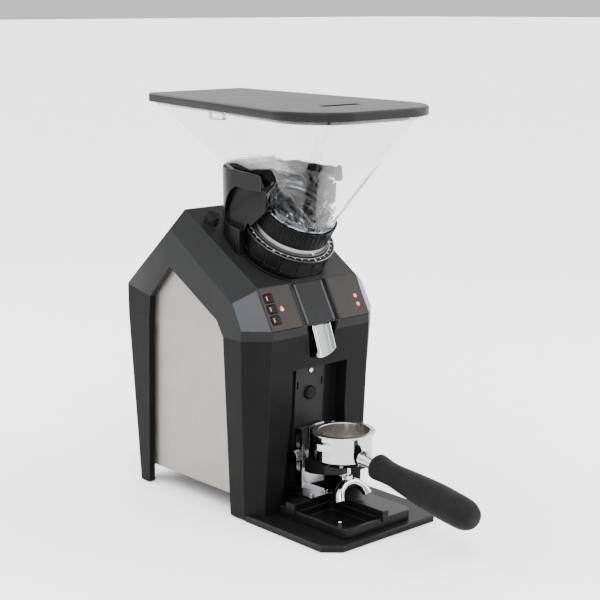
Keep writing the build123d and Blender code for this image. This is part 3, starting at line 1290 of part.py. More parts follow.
with BuildPart() as thumb_screw:
    with BuildSketch(side_plane.offset(-HOLDER_X - 0.3)):
        with Locations((THUMB_Y, THUMB_Z)):
            RegularPolygon(THUMB_RADIUS, 24)
    extrude(amount=-THUMB_WIDTH)
    with BuildSketch(side_plane.offset(-HOLDER_X - 0.3)):
        with Locations((THUMB_Y, THUMB_Z)):
            Circle(2.3)
    extrude(amount=HOLDER_SHEET * 2 + 2)
save(thumb_screw, "thumb_screw")

with BuildPart() as fork:
    with BuildSketch(Plane.XY.offset(FORK_TOP_Z - FORK_THICK)):
        Polygon((-FORK_HALF, BACKSTOP_Y), (FORK_HALF, BACKSTOP_Y), (FORK_HALF, -30),
                (FORK_HALF - 6, FORK_FRONT_Y), (-FORK_HALF + 6, FORK_FRONT_Y), (-FORK_HALF, -30))
        with Locations((0, (RIM_Y + FORK_FRONT_Y - 20) / 2)):
            Rectangle(2 * 9.0, RIM_Y - FORK_FRONT_Y + 20, mode=Mode.SUBTRACT)
        with Locations((0, RIM_Y)):
            Circle(9.0, mode=Mode.SUBTRACT)
    extrude(amount=FORK_THICK)
    with BuildSketch(side_plane):
        Polygon((FORK_FRONT_Y - 5, FORK_TOP_Z - 7), (FORK_FRONT_Y - 5, FORK_TOP_Z - 20),
                (-8, FORK_TOP_Z - 20), (-8, FORK_TOP_Z - FORK_THICK))
    extrude(amount=HALF_WIDTH, both=True, mode=Mode.SUBTRACT)
save(fork, "fork")

# ================================================================== catch tray
tray_bottom = BASE_THICK + 0.15
tray_top = tray_bottom + TRAY_HEIGHT
tray_middle = ((TRAY_LEFT + TRAY_RIGHT) / 2, (TRAY_FRONT_Y + TRAY_REAR_Y) / 2)
pocket_right = BAR_X - 1.0
pocket_rear = CROSS_Y - 1.0
with BuildPart() as catch_tray:
    with BuildSketch(Plane.XY.offset(tray_bottom)) as tray_plan:
        with Locations(tray_middle):
            Rectangle(TRAY_RIGHT - TRAY_LEFT, TRAY_REAR_Y - TRAY_FRONT_Y)
        fillet(tray_plan.vertices().group_by(Axis.Y)[0], radius=TRAY_CORNER)
    extrude(amount=TRAY_HEIGHT)
    fillet(catch_tray.faces().sort_by(Axis.Z)[-1].edges(), radius=1.0)
    with BuildSketch(Plane.XY.offset(tray_bottom + TRAY_FLOOR)):
        with Locations(((TRAY_LEFT + TRAY_RIM + pocket_right) / 2,
                        (TRAY_FRONT_Y + TRAY_RIM + pocket_rear) / 2)):
            RectangleRounded(pocket_right - TRAY_LEFT - TRAY_RIM,
                             pocket_rear - TRAY_FRONT_Y - TRAY_RIM, TRAY_CORNER - TRAY_RIM)
    extrude(amount=TRAY_HEIGHT, mode=Mode.SUBTRACT)
save(catch_tray, "catch_tray")

with BuildPart() as tray_frame:
    with BuildSketch(Plane.XY.offset(tray_top)):
        with Locations((BAR_X + BAR / 2, (TRAY_FRONT_Y - 2 + CROSS_Y + CROSS_DEPTH) / 2)):
            Rectangle(BAR, CROSS_Y + CROSS_DEPTH - TRAY_FRONT_Y + 2)
        with Locations(((TRAY_LEFT - 2 + BAR_X + BAR) / 2, CROSS_Y + CROSS_DEPTH / 2)):
            Rectangle(BAR_X + BAR - TRAY_LEFT + 2, CROSS_DEPTH)
    extrude(amount=BAR_TOP_Z - tray_top)
    with BuildSketch(Plane.XY.offset(tray_top - 4)):
        with Locations((BAR_X + BAR / 2, TRAY_FRONT_Y - 1.05)):
            Rectangle(BAR, 1.9)
        with Locations((TRAY_LEFT - 1.05, CROSS_Y + CROSS_DEPTH / 2)):
            Rectangle(1.9, CROSS_DEPTH)
    extrude(amount=4)
save(tray_frame, "tray_frame")

# ================================================================== portafilter
tilt = radians(HANDLE_TILT)
HANDLE_AXIS_Z = 79.9
handle_plane = Plane(origin=(0, RIM_Y, HANDLE_AXIS_Z), x_dir=(1, 0, 0),
                     z_dir=(0, -cos(tilt), -sin(tilt)))
with BuildPart() as portafilter_body:
    with BuildSketch(Plane.XY.offset(FORK_TOP_Z + 6)):
        with Locations((0, RIM_Y)):
            Circle(BOWL_RADIUS)
    extrude(amount=RIM_Z - 0.8 - FORK_TOP_Z - 6)
    with BuildSketch(Plane.XY.offset(FORK_TOP_Z + 1)):
        with Locations((0, RIM_Y)):
            Circle(BOWL_RADIUS - 4)
    with BuildSketch(Plane.XY.offset(FORK_TOP_Z + 6)):
        with Locations((0, RIM_Y)):
            Circle(BOWL_RADIUS)
    loft()
    with BuildSketch(Plane.XY.offset(RIM_Z - 14)):
        with Locations((0, RIM_Y)):
            SlotOverall(2 * (BOWL_RADIUS + 6.5), 26)
            Circle(BOWL_RADIUS - 1, mode=Mode.SUBTRACT)
    extrude(amount=7)
    with BuildSketch(Plane.XY.offset(FORK_TOP_Z - 14)):
        with Locations((0, RIM_Y)):
            Circle(7.5)
    extrude(amount=16)
    with BuildSketch(Plane.XY.offset(FORK_TOP_Z - 16)):
        with Locations((0, RIM_Y)):
            Circle(3.5)
    extrude(amount=26, mode=Mode.SUBTRACT)
    with BuildSketch(handle_plane.offset(BOWL_RADIUS - 4)):
        Circle(9.5)
    with BuildSketch(handle_plane.offset(BOWL_RADIUS + 9)):
        Circle(NECK_ROD_RADIUS)
    loft()
    with BuildSketch(handle_plane.offset(BOWL_RADIUS + 9)):
        Circle(NECK_ROD_RADIUS)
    extrude(amount=HANDLE_START + 12 - BOWL_RADIUS - 9)
    with BuildSketch(Plane.XY.offset(FORK_TOP_Z + 5)):
        with Locations((0, RIM_Y)):
            Circle(BOWL_RADIUS - BOWL_WALL)
    extrude(amount=BOWL_DEPTH, mode=Mode.SUBTRACT)
save(portafilter_body, "portafilter_body")

with BuildPart() as filter_basket:
    with BuildSketch(Plane.XY.offset(RIM_Z - BASKET_DEPTH)):
        with Locations((0, RIM_Y)):
            Circle(BASKET_RADIUS)
    extrude(amount=BASKET_DEPTH)
    with BuildSketch(Plane.XY.offset(RIM_Z - 0.8)):
        with Locations((0, RIM_Y)):
            Circle(RIM_RADIUS)
    extrude(amount=1.8)
    with BuildSketch(Plane.XY.offset(RIM_Z - BASKET_DEPTH + BASKET_SHEET)):
        with Locations((0, RIM_Y)):
            Circle(BASKET_RADIUS - BASKET_SHEET)
    extrude(amount=BASKET_DEPTH + 2, mode=Mode.SUBTRACT)
    fillet(filter_basket.edges().filter_by(GeomType.CIRCLE).group_by(Axis.Z)[-1], radius=0.8)
save(filter_basket, "filter_basket")

handle_profile = [(10.5, 0), (13.6, 2.5), (13.8, 6), (12.4, 20), (13.2, 40), (15.0, 62), (16.6, 92),
                  (16.4, 118), (14.6, 132), (10.0, HANDLE_LENGTH - 1.5)]
with BuildPart() as portafilter_handle:
    with BuildSketch(Plane(origin=handle_plane.origin + handle_plane.z_dir * HANDLE_START,
                           x_dir=(1, 0, 0), z_dir=-handle_plane.y_dir)):
        with BuildLine():
            side_line = Spline(*[(radius, along) for radius, along in handle_profile])
            Line(side_line @ 1, (0, HANDLE_LENGTH))
            Line((0, HANDLE_LENGTH), (0, 0))
            Line((0, 0), side_line @ 0)
        make_face()
    revolve(axis=Axis(handle_plane.origin, handle_plane.z_dir))
    with BuildSketch(handle_plane.offset(HANDLE_START)):
        Circle(NECK_ROD_RADIUS + 0.02)
    extrude(amount=12, mode=Mode.SUBTRACT)
save(portafilter_handle, "portafilter_handle")

with BuildPart() as portafilter_spout:
    with BuildLine() as arch_line:
        ThreePointArc((-SPOUT_TIP_X, -50, SPOUT_TIP_Z), (0, -41, SPOUT_TIP_Z + 15),
                      (SPOUT_TIP_X, -50, SPOUT_TIP_Z))
    with BuildSketch(Plane(origin=arch_line.line @ 0, z_dir=arch_line.line % 0)):
        Circle(5.0)
    sweep()
    with BuildSketch(Plane.XY.offset(SPOUT_TIP_Z + 13)):
        with Locations((0, -38)):
            Circle(6.5)
    extrude(amount=FORK_TOP_Z - 14 - SPOUT_TIP_Z - 13)
    with BuildSketch(Plane.XY.offset(SPOUT_TIP_Z - 20)):
        Rectangle(120, 200)
    extrude(amount=20, mode=Mode.SUBTRACT)
save(portafilter_spout, "portafilter_spout")

# =============================================================== rear face pieces
with BuildPart() as power_inlet:
    with BuildSketch(Plane.XZ.offset(-REAR_Y - 1.5)):
        with Locations((INLET_X, INLET_Z)):
            Rectangle(INLET_WIDTH + 6, INLET_HEIGHT + 6)
    extrude(amount=1.4)
    with BuildSketch(Plane.XZ.offset(-REAR_Y - 0.1)):
        with Locations((INLET_X, INLET_Z)):
            Rectangle(INLET_WIDTH, INLET_HEIGHT)
    extrude(amount=20)
    with BuildSketch(Plane.XZ.offset(-REAR_Y - 1.5)):
        with Locations((INLET_X, INLET_Z)):
            Rectangle(INLET_WIDTH - 5, INLET_HEIGHT - 5)
    extrude(amount=16, mode=Mode.SUBTRACT)
save(power_inlet, "power_inlet")

with BuildPart() as power_switch:
    with BuildSketch(side_plane.offset(SWITCH_X - SWITCH_WIDTH / 2 + 0.6)):
        with Locations((REAR_Y - 4, INLET_Z)):
            Circle(SWITCH_HEIGHT / 2 - 0.6)
    extrude(amount=SWITCH_WIDTH - 1.2)
save(power_switch, "power_switch")
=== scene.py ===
"""Upright burr coffee grinder with a clear funnel hopper, a tilted dial and a filter holder."""
import json
import math

import bmesh
import bpy
from mathutils import Matrix, Vector


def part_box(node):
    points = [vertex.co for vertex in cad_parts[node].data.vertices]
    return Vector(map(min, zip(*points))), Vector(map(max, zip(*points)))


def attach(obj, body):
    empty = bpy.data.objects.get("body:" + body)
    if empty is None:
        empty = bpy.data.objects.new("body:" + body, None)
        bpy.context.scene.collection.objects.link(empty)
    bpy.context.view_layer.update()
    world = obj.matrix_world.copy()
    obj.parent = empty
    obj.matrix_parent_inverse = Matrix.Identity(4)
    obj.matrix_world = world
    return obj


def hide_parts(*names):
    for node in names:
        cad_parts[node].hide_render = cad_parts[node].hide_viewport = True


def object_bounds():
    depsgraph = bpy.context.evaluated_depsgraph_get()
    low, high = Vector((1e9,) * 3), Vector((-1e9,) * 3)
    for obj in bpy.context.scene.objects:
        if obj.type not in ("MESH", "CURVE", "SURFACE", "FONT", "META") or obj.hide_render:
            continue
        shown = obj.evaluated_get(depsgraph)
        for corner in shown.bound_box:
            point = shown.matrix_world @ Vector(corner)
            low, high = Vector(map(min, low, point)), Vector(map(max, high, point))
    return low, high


bl_info = {
    "name": "Burr coffee grinder",
    "version": (1, 0, 0),
    "blender": (4, 5, 0),
    "location": "View3D > Sidebar > Grinder",
    "description": "Builds the grinder's housing, head, hopper, controls, holder and tray",
    "category": "Add Mesh",
}

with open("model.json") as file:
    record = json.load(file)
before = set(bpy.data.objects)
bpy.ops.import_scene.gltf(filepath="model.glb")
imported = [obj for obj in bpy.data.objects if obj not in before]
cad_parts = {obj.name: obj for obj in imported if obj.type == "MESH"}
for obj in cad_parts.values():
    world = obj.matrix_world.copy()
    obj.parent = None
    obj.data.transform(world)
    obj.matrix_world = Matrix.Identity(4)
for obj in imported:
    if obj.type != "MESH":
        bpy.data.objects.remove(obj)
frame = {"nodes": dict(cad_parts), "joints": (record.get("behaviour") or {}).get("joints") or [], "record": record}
cad_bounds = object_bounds()
MM = 0.001
EDGE_ANGLE = 34  # degrees between faces above which an edge is sharp and gets rounded
WELD = 0.000004
SPIN_WELD = 0.000002
NODES = frame["nodes"]
JOINTS = {joint["name"]: joint for joint in frame["joints"]}
OWNER = {node: body for body, members in frame["record"]["behaviour"]["bodies"].items()
         for node in members}

# ------------------------------------------------------------------ places on the machine
HEAD_AXIS = Vector(JOINTS["burr_spin"]["axis"]).normalized()
HEAD_POINT = Vector(JOINTS["burr_spin"]["pos_m"])
PANEL_NORMAL = Vector(JOINTS["chute_cover_pull"]["axis"]).normalized()
RIGHT = Vector((1, 0, 0))


def place(origin, normal):
    """Matrix of a flat face: X stays to the right, Z is the face's normal."""
    up_slope = normal.cross(RIGHT).normalized()
    matrix = Matrix((RIGHT, up_slope, normal)).transposed().to_4x4()
    matrix.translation = origin
    return matrix


GLASS_THICK = 1.8 * MM
GLASS_EDGE_SLOPE = 0.57  # rise of the glass's lower edge over its depth
glass_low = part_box("control_glass_left")[0]
PANEL_FOOT = Vector((0, glass_low.y,
                     glass_low.z + GLASS_THICK * abs(PANEL_NORMAL.y) * GLASS_EDGE_SLOPE))
HEAD = place(HEAD_POINT, HEAD_AXIS)
PANEL = place(PANEL_FOOT, PANEL_NORMAL)


def span_on(matrix, node):
    """Lowest and highest corner of a node in a face's own directions."""
    inverse = matrix.inverted()
    points = [inverse @ vertex.co for vertex in NODES[node].data.vertices]
    return (Vector([min(p[i] for p in points) for i in range(3)]),
            Vector([max(p[i] for p in points) for i in range(3)]))


def radius_on(matrix, node):
    """Largest distance of a node from a face's normal axis."""
    inverse = matrix.inverted()
    return max((inverse @ vertex.co).xy.length for vertex in NODES[node].data.vertices)


# ------------------------------------------------------------------ shader helpers
class Shader:
    """Short way to write one material's node tree."""

    # the second colour socket takes the lighter edge colour, a painted edge highlight
    mix_plain, mix_worn, mix_result = 6, 7, 2  # a Mix node's colour sockets

    def __init__(self, name):
        self.material = bpy.data.materials.new(name)
        self.material.use_nodes = True
        self.tree = self.material.node_tree
        self.tree.nodes.clear()
        self.output = self.tree.nodes.new("ShaderNodeOutputMaterial")
        self.surface = self.tree.nodes.new("ShaderNodeBsdfPrincipled")
        self.tree.links.new(self.surface.outputs["BSDF"], self.output.inputs["Surface"])
        coordinates = self.tree.nodes.new("ShaderNodeTexCoord")
        self.at = coordinates.outputs["Object"]

    def put(self, **values):
        for name, value in values.items():
            socket = self.surface.inputs[name.replace("_", " ")]
            socket.default_value = value
        return self

    def node(self, kind, inputs=None, **settings):
        made = self.tree.nodes.new(kind)
        for name, value in settings.items():
            setattr(made, name, value)
        for name, value in (inputs or {}).items():
            if isinstance(value, bpy.types.NodeSocket):
                self.tree.links.new(value, made.inputs[name])
            else:
                made.inputs[name].default_value = value
        return made

    def stretched(self, scale):
        """Object coordinates, stretched."""
        mapping = self.node("ShaderNodeMapping", {"Vector": self.at, "Scale": scale})
        return mapping.outputs["Vector"]

    def noise(self, scale, detail=2.0, at=None):
        made = self.node("ShaderNodeTexNoise", {"Vector": at or self.at, "Scale": scale,
                                                "Detail": detail})
        return made.outputs["Fac"]

    def ramp(self, source, stops):
        """Colours or greys over a value from 0 to 1."""
        made = self.node("ShaderNodeValToRGB", {"Fac": source})
        elements = made.color_ramp.elements
        while len(elements) < len(stops):
            elements.new(0.5)
        for element, (position, colour) in zip(elements, stops):
            element.position = position
            element.color = colour if len(colour) == 4 else (*colour, 1)
        return made.outputs["Color"]

    def spread(self, source, low, high):
        """A value from 0 to 1 spread over another range."""
        return self.node("ShaderNodeMapRange", {"Value": source, "To Min": low,
                                                "To Max": high}).outputs["Result"]

    def highlit_worn_edges(self, radius, plain, worn):
        """Colour that goes from plain to a lighter edge colour where the surface turns over an edge: a painted
        highlight along the edges, partly wear.
        """
        bevel = self.node("ShaderNodeBevel", {"Radius": radius}, samples=4)
        geometry = self.node("ShaderNodeNewGeometry")
        dot = self.node("ShaderNodeVectorMath", {0: bevel.outputs["Normal"],
                                                 1: geometry.outputs["Normal"]},
                        operation="DOT_PRODUCT")
        turned = self.node("ShaderNodeMapRange", {"Value": dot.outputs["Value"], "From Min": 1.0,
                                                  "From Max": 0.86}).outputs["Result"]
        mix = self.node("ShaderNodeMix", {"Factor": turned}, data_type="RGBA")
        self.connect(plain, mix.inputs[self.mix_plain])
        self.connect(worn, mix.inputs[self.mix_worn])
        return mix.outputs[self.mix_result]

    def connect(self, value, socket):
        if isinstance(value, bpy.types.NodeSocket):
            self.tree.links.new(value, socket)
        else:
            socket.default_value = value if len(value) == 4 else (*value, 1)

    def bump(self, height, distance):
        made = self.node("ShaderNodeBump", {"Height": height, "Distance": distance,
                                            "Strength": 1.0})
        self.tree.links.new(made.outputs["Normal"], self.surface.inputs["Normal"])
        return self

    def link(self, socket, name):
        self.tree.links.new(socket, self.surface.inputs[name])
        return self


FINISHES = {}


def finish(name):
    """The named finish, made once from its recipe."""
    if name not in FINISHES:
        FINISHES[name] = RECIPES[name]()
    return FINISHES[name]


def moulded(name, colour, edge, roughness, grain=0.00004, grain_scale=1500, mottle=0.15,
            shine=0.06):
    """Moulded or powder-coated surface: fine grain, slight mottling, lighter edges that are a painted edge
    highlight, partly wear.
    """
    shader = Shader(name)
    patches = shader.noise(22, 4)
    low = tuple(c * (1 - mottle) for c in colour)
    high = tuple(c * (1 + mottle) for c in colour)
    plain = shader.ramp(patches, [(0.3, low), (0.7, high)])
    # the edge colour is a painted highlight along the edges, partly wear
    shader.link(shader.highlit_worn_edges(0.0008, plain, edge), "Base Color")
    smudge = shader.noise(35, 5)
    shader.link(shader.spread(smudge, roughness - 0.06, roughness + 0.06), "Roughness")
    shader.bump(shader.noise(grain_scale, 2), grain)
    return shader.put(Coat_Roughness=0.2, Specular_IOR_Level=shine).material


def metal(name, colour, roughness, stretch=(1, 1, 1), scale=900, depth=0.000008, mottle=0.06):
    """Metal with fine drawn lines along the squeezed direction."""
    shader = Shader(name)
    lines = shader.noise(scale, 3, shader.stretched(stretch))
    low = tuple(c * (1 - mottle) for c in colour)
    high = tuple(min(1, c * (1 + mottle)) for c in colour)
    shader.link(shader.ramp(lines, [(0.3, low), (0.7, high)]), "Base Color")
    shader.link(shader.spread(shader.noise(40, 4), roughness * 0.8, roughness * 1.25), "Roughness")
    shader.bump(lines, depth)
    return shader.put(Metallic=1.0).material


def glossy_window():
    """Smoked glossy panel, warm grey, with faint wipe marks."""
    shader = Shader("smoked_panel")
    haze = shader.noise(14, 3)
    shader.link(shader.ramp(haze, [(0.3, (0.019, 0.0165, 0.0150)), (0.7, (0.023, 0.0200, 0.0182))]),
                "Base Color")
    shader.link(shader.spread(shader.noise(60, 4), 0.26, 0.36), "Roughness")
    shader.bump(shader.noise(700, 1), 0.000004)
    return shader.put(Specular_IOR_Level=0.08).material


def corner_window_reflection():
    """The same window where it wraps round the housing's corner, lighter and a little cooler: a painted
    reflection.
    """
    shader = Shader("smoked_corner_reflection")
    haze = shader.noise(14, 3)
    # lighter, cooler colours than the window: a painted reflection at the corner
    shader.link(shader.ramp(haze, [(0.3, (0.026, 0.029, 0.032)), (0.7, (0.032, 0.035, 0.039))]),
                "Base Color")
    shader.link(shader.spread(shader.noise(60, 4), 0.2, 0.3), "Roughness")
    shader.bump(shader.noise(700, 1), 0.000004)
    return shader.put(Specular_IOR_Level=0.12).material


def clear_plastic(name, tint, roughness=0.03):
    """Clear moulded plastic with a faint flow pattern."""
    shader = Shader(name)
    flow = shader.noise(9, 2)
    shader.link(shader.ramp(flow, [(0.3, tint), (0.7, tuple(min(1, c * 1.03) for c in tint))]),
                "Base Color")
    shader.link(shader.spread(shader.noise(50, 3), roughness * 0.6, roughness * 1.6), "Roughness")
    shader.bump(shader.noise(30, 1), 0.00002)
    return shader.put(Transmission_Weight=1.0, IOR=1.45).material


def rubber(name, colour, roughness=0.62):
    """Soft black rubber with a fine skin and a little sheen."""
    shader = Shader(name)
    dust = shader.noise(60, 5)
    shader.link(shader.ramp(dust, [(0.35, colour), (0.75, tuple(c * 1.5 for c in colour))]),
                "Base Color")
    shader.link(shader.spread(shader.noise(90, 3), roughness - 0.08, roughness + 0.08), "Roughness")
    shader.bump(shader.noise(2200, 2), 0.00003)
    return shader.put(Sheen_Weight=0.02, Sheen_Roughness=0.5, Specular_IOR_Level=0.07).material


def lit(name, colour, strength):
    """Small lit window or mark."""
    shader = Shader(name)
    low = tuple(c * 0.85 for c in colour)
    shader.link(shader.ramp(shader.noise(300, 2), [(0.3, low), (0.7, colour)]), "Base Color")
    shader.link(shader.spread(shader.noise(200, 1), 0.3, 0.4), "Roughness")
    shader.bump(shader.noise(900, 1), 0.00001)
    return shader.put(Emission_Color=(*colour, 1), Emission_Strength=strength).material


def printed(name, colour):
    """Printed ink, very slightly uneven."""
    shader = Shader(name)
    wear = shader.noise(500, 3)
    low = tuple(c * 0.85 for c in colour)
    shader.link(shader.ramp(wear, [(0.3, low), (0.6, colour)]), "Base Color")
    shader.link(shader.spread(shader.noise(300, 2), 0.4, 0.55), "Roughness")
    shader.bump(shader.noise(1200, 1), 0.00001)
    return shader.material


def windings():
    """Varnished copper wire, laid side by side."""
    shader = Shader("copper_windings")
    wires = shader.node("ShaderNodeTexWave", {"Vector": shader.at, "Scale": 400.0,
                                              "Distortion": 0.5}).outputs["Fac"]
    # colour follows the bump's bands: painted shade between the wires and painted highlight on their crests
    shader.link(shader.ramp(wires, [(0.2, (0.20, 0.06, 0.02)), (0.8, (0.55, 0.22, 0.08))]),
                "Base Color")
    shader.link(shader.spread(shader.noise(80, 2), 0.3, 0.45), "Roughness")
    shader.bump(wires, 0.0001)
    return shader.put(Metallic=0.8).material


def knurled_metal(name, colour, roughness):
    """Metal with fine diagonal cuts."""
    shader = Shader(name)
    first = shader.node("ShaderNodeTexWave", {"Vector": shader.at, "Scale": 380.0},
                        bands_direction="DIAGONAL").outputs["Fac"]
    # colour follows the bump's bands, darker in the cuts: painted shade in the grooves
    shader.link(shader.ramp(first, [(0.1, tuple(c * 0.6 for c in colour)), (0.6, colour)]),
                "Base Color")
    shader.link(shader.spread(shader.noise(60, 3), roughness * 0.8, roughness * 1.2), "Roughness")
    shader.bump(first, 0.0002)
    return shader.put(Metallic=1.0).material


RECIPES = {
    # moulded recipes: base colour, lighter edge colour (a painted edge highlight, partly wear), roughness, grain
    # depth, grain scale, mottling, shine
    "housing": lambda: moulded("moulded_charcoal", (0.0045, 0.0045, 0.0047),
                               (0.020, 0.0205, 0.021), 0.48, 0.00005, 1800, 0.12),
    # roof: the housing's charcoal made lighter, a painted highlight from light grazing the top
    "housing_top": lambda: moulded("moulded_charcoal_roof_highlit", (0.0105, 0.0107, 0.0111),
                                   (0.026, 0.0265, 0.027), 0.44, 0.00005, 1800, 0.12, 0.09),
    "cover": lambda: moulded("centre_cover", (0.0124, 0.0126, 0.0132), (0.030, 0.031, 0.033), 0.42,
                             0.00003, 1600, 0.08),
    # lighter copy of the cover's moulding: a painted highlight on the bars along the cover's sides
    "cover_edge": lambda: moulded("centre_cover_edge_highlight", (0.030, 0.032, 0.036),
                                  (0.050, 0.052, 0.056), 0.34, 0.00003, 1600, 0.08, 0.13),
    "strip": lambda: moulded("panel_strips", (0.0044, 0.0044, 0.0048), (0.022, 0.022, 0.023), 0.36,
                             0.00002, 1400, 0.08),
    "band": lambda: moulded("scale_band", (0.0018, 0.0018, 0.0018), (0.004, 0.004, 0.004), 0.5,
                            0.00002, 1400, 0.08, 0.1),
    "gap": lambda: moulded("shadow_gap", (0.0012, 0.0012, 0.0012), (0.002, 0.002, 0.002), 0.7,
                           0.00002, 1400, 0.08, 0.05),
    "button": lambda: moulded("button_black", (0.0060, 0.0056, 0.0054), (0.018, 0.018, 0.018), 0.42,
                              0.00002, 1200, 0.1),
    "dial": lambda: moulded("dial_black", (0.0026, 0.0026, 0.0027), (0.022, 0.022, 0.023), 0.38,
                            0.00003, 1400, 0.1, 0.08),
    "collar": lambda: moulded("collar_black", (0.0023, 0.0023, 0.0024), (0.020, 0.020, 0.021), 0.42,
                              0.00003, 1400, 0.1, 0.06),
    "cradle": lambda: moulded("cradle_black", (0.0028, 0.0028, 0.0029), (0.030, 0.030, 0.031), 0.32,
                              0.00003, 1300, 0.12, 0.12),
    "lid": lambda: moulded("lid_black", (0.0085, 0.0085, 0.0088), (0.034, 0.034, 0.035), 0.36,
                           0.00003, 1500, 0.1, 0.12),
    "tray": lambda: moulded("tray_black", (0.0035, 0.0035, 0.0037), (0.034, 0.034, 0.035), 0.30,
                            0.00002, 1400, 0.1, 0.12),
    "base": lambda: moulded("base_powder", (0.0049, 0.0049, 0.0051), (0.036, 0.036, 0.037), 0.42,
                            0.00005, 1600, 0.12, 0.09),
    "service": lambda: moulded("service_panel", (0.0094, 0.0094, 0.0097), (0.026, 0.026, 0.027),
                               0.42, 0.00003, 1600, 0.1, 0.13),
    "side_metal": lambda: metal("side_panel_metal", (0.27, 0.255, 0.24), 0.42, (1, 1, 0.02), 900,
                                0.000004, 0.03),
    "steel": lambda: metal("satin_steel", (0.24, 0.24, 0.245), 0.2, (1, 1, 0.05), 1200),
    "basket": lambda: metal("basket_steel", (0.46, 0.45, 0.435), 0.26, (1, 1, 0.1), 1500),
    "chrome": lambda: metal("polished_chrome", (0.43, 0.435, 0.445), 0.07, (1, 1, 1), 60, 0.0000004,
                            0.02),
    "ring": lambda: moulded("index_ring_satin", (0.0150, 0.0152, 0.0158), (0.06, 0.06, 0.062),
                            0.30, 0.00002, 1400, 0.06, 0.35),
    "burr": lambda: metal("ground_steel", (0.45, 0.45, 0.46), 0.3, (1, 1, 1), 1800),
    "cast": lambda: metal("cast_aluminium", (0.5, 0.5, 0.5), 0.5, (1, 1, 1), 700, 0.00004, 0.1),
    "knurl": lambda: knurled_metal("knurled_chrome", (0.38, 0.38, 0.385), 0.15),
    "window": glossy_window,
    "corner": corner_window_reflection,
    "clear": lambda: clear_plastic("hopper_clear", (0.93, 0.935, 0.94)),
    # darker clear plastic: painted shade for the dark look of thick clear edges, used on the rim band, crown and
    # clip tabs
    "clear_edge": lambda: clear_plastic("hopper_clear_edge_shade", (0.42, 0.45, 0.49), 0.08),
    "clear_thick": lambda: clear_plastic("hopper_clear_thick", (0.80, 0.82, 0.84), 0.06),
    "grip": lambda: rubber("handle_rubber", (0.0048, 0.0048, 0.0050)),
    "feet": lambda: rubber("feet_rubber", (0.012, 0.012, 0.012), 0.75),
    "red": lambda: lit("lit_red", (0.75, 0.08, 0.06), 0.55),
    "glow": lambda: lit("lit_pink", (0.95, 0.45, 0.40), 0.6),
    "rim": lambda: metal("dial_rim_metal", (0.30, 0.30, 0.305), 0.24, (1, 1, 1), 1400),
    "white": lambda: printed("white_print", (0.75, 0.75, 0.74)),
    "faint_red": lambda: lit("red_print", (0.55, 0.06, 0.05), 0.25),
    "copper": windings,
    "board": lambda: moulded("circuit_board", (0.01, 0.06, 0.02), (0.1, 0.12, 0.1), 0.4),
}


# ------------------------------------------------------------------ modelling helpers
def show(shape, name, finishes, stands_for=(), body=None, smooth=EDGE_ANGLE, bevel=0.0,
         segments=2):
    """Turn a bmesh into a finished piece that rides on a CAD body."""
    mesh = bpy.data.meshes.new(name)
    shape.to_mesh(mesh)
    shape.free()
    for name_of_finish in ([finishes] if isinstance(finishes, str) else finishes):
        mesh.materials.append(finish(name_of_finish))
    mesh.shade_smooth()
    mesh.set_sharp_from_angle(angle=math.radians(smooth))
    piece = bpy.data.objects.new(name, mesh)
    bpy.context.scene.collection.objects.link(piece)
    if bevel:
        rounding = piece.modifiers.new("edges", "BEVEL")
        rounding.width = bevel
        rounding.segments = segments
        rounding.limit_method = "ANGLE"
        rounding.angle_limit = math.radians(EDGE_ANGLE)
    nodes = [stands_for] if isinstance(stands_for, str) else list(stands_for)
    if nodes:
        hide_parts(*nodes)
        body = body or OWNER[nodes[0]]
    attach(piece, body)
    return piece


def merged(node, flat=0.6):
    """Joined copy of a CAD node's mesh, its flat faces made whole below an angle in degrees."""
    shape = bmesh.new()
    shape.from_mesh(NODES[node].data)
    bmesh.ops.remove_doubles(shape, verts=shape.verts, dist=WELD)
    if flat:
        bmesh.ops.dissolve_limit(shape, angle_limit=math.radians(flat), verts=shape.verts,
                                 edges=shape.edges)
    return shape


def refined(nodes, finish_name, bevel=0.0005, smooth=EDGE_ANGLE, segments=2, flat=0.6):
    """Rounded-edge versions of CAD nodes, in place of them."""
    for node in ([nodes] if isinstance(nodes, str) else nodes):
        show(merged(node, flat), node + "_piece", finish_name, node, smooth=smooth, bevel=bevel,
             segments=segments)


def coat(nodes, finish_name):
    """Give CAD nodes that stay a finish."""
    for node in ([nodes] if isinstance(nodes, str) else nodes):
        mesh = NODES[node].data
        mesh.materials.clear()
        mesh.materials.append(finish(finish_name))


def block(shape, matrix, low, high):
    """Box between two corners in a face's own directions."""
    low, high = Vector(low), Vector(high)
    middle, size = (low + high) / 2, high - low
    bmesh.ops.create_cube(shape, size=1.0, matrix=matrix @ Matrix.Translation(middle)
                          @ Matrix.Diagonal((*size, 1)))


def rod(shape, matrix, radius, low, high, sides, at=(0, 0)):
    """Round bar along a face's normal."""
    middle = Vector((at[0], at[1], (low + high) / 2))
    bmesh.ops.create_cone(shape, cap_ends=True, segments=sides, radius1=radius, radius2=radius,
                          depth=high - low, matrix=matrix @ Matrix.Translation(middle))


def turned(shape, matrix, profile, steps=96, closed=True):
    """Ring or cup spun from a profile of (radius, height) points about a face's normal."""
    axis = (matrix.to_3x3() @ Vector((0, 0, 1))).normalized()
    vertices = [shape.verts.new(matrix @ Vector((radius, 0, height))) for radius, height in profile]
    pairs = list(zip(vertices, vertices[1:]))
    if closed:
        pairs.append((vertices[-1], vertices[0]))
    edges = [shape.edges.new(pair) for pair in pairs]
    bmesh.ops.spin(shape, geom=vertices + edges, cent=matrix.translation, axis=axis,
                   angle=math.tau, steps=steps, use_merge=True)
    bmesh.ops.remove_doubles(shape, verts=shape.verts, dist=SPIN_WELD)
    bmesh.ops.recalc_face_normals(shape, faces=shape.faces)


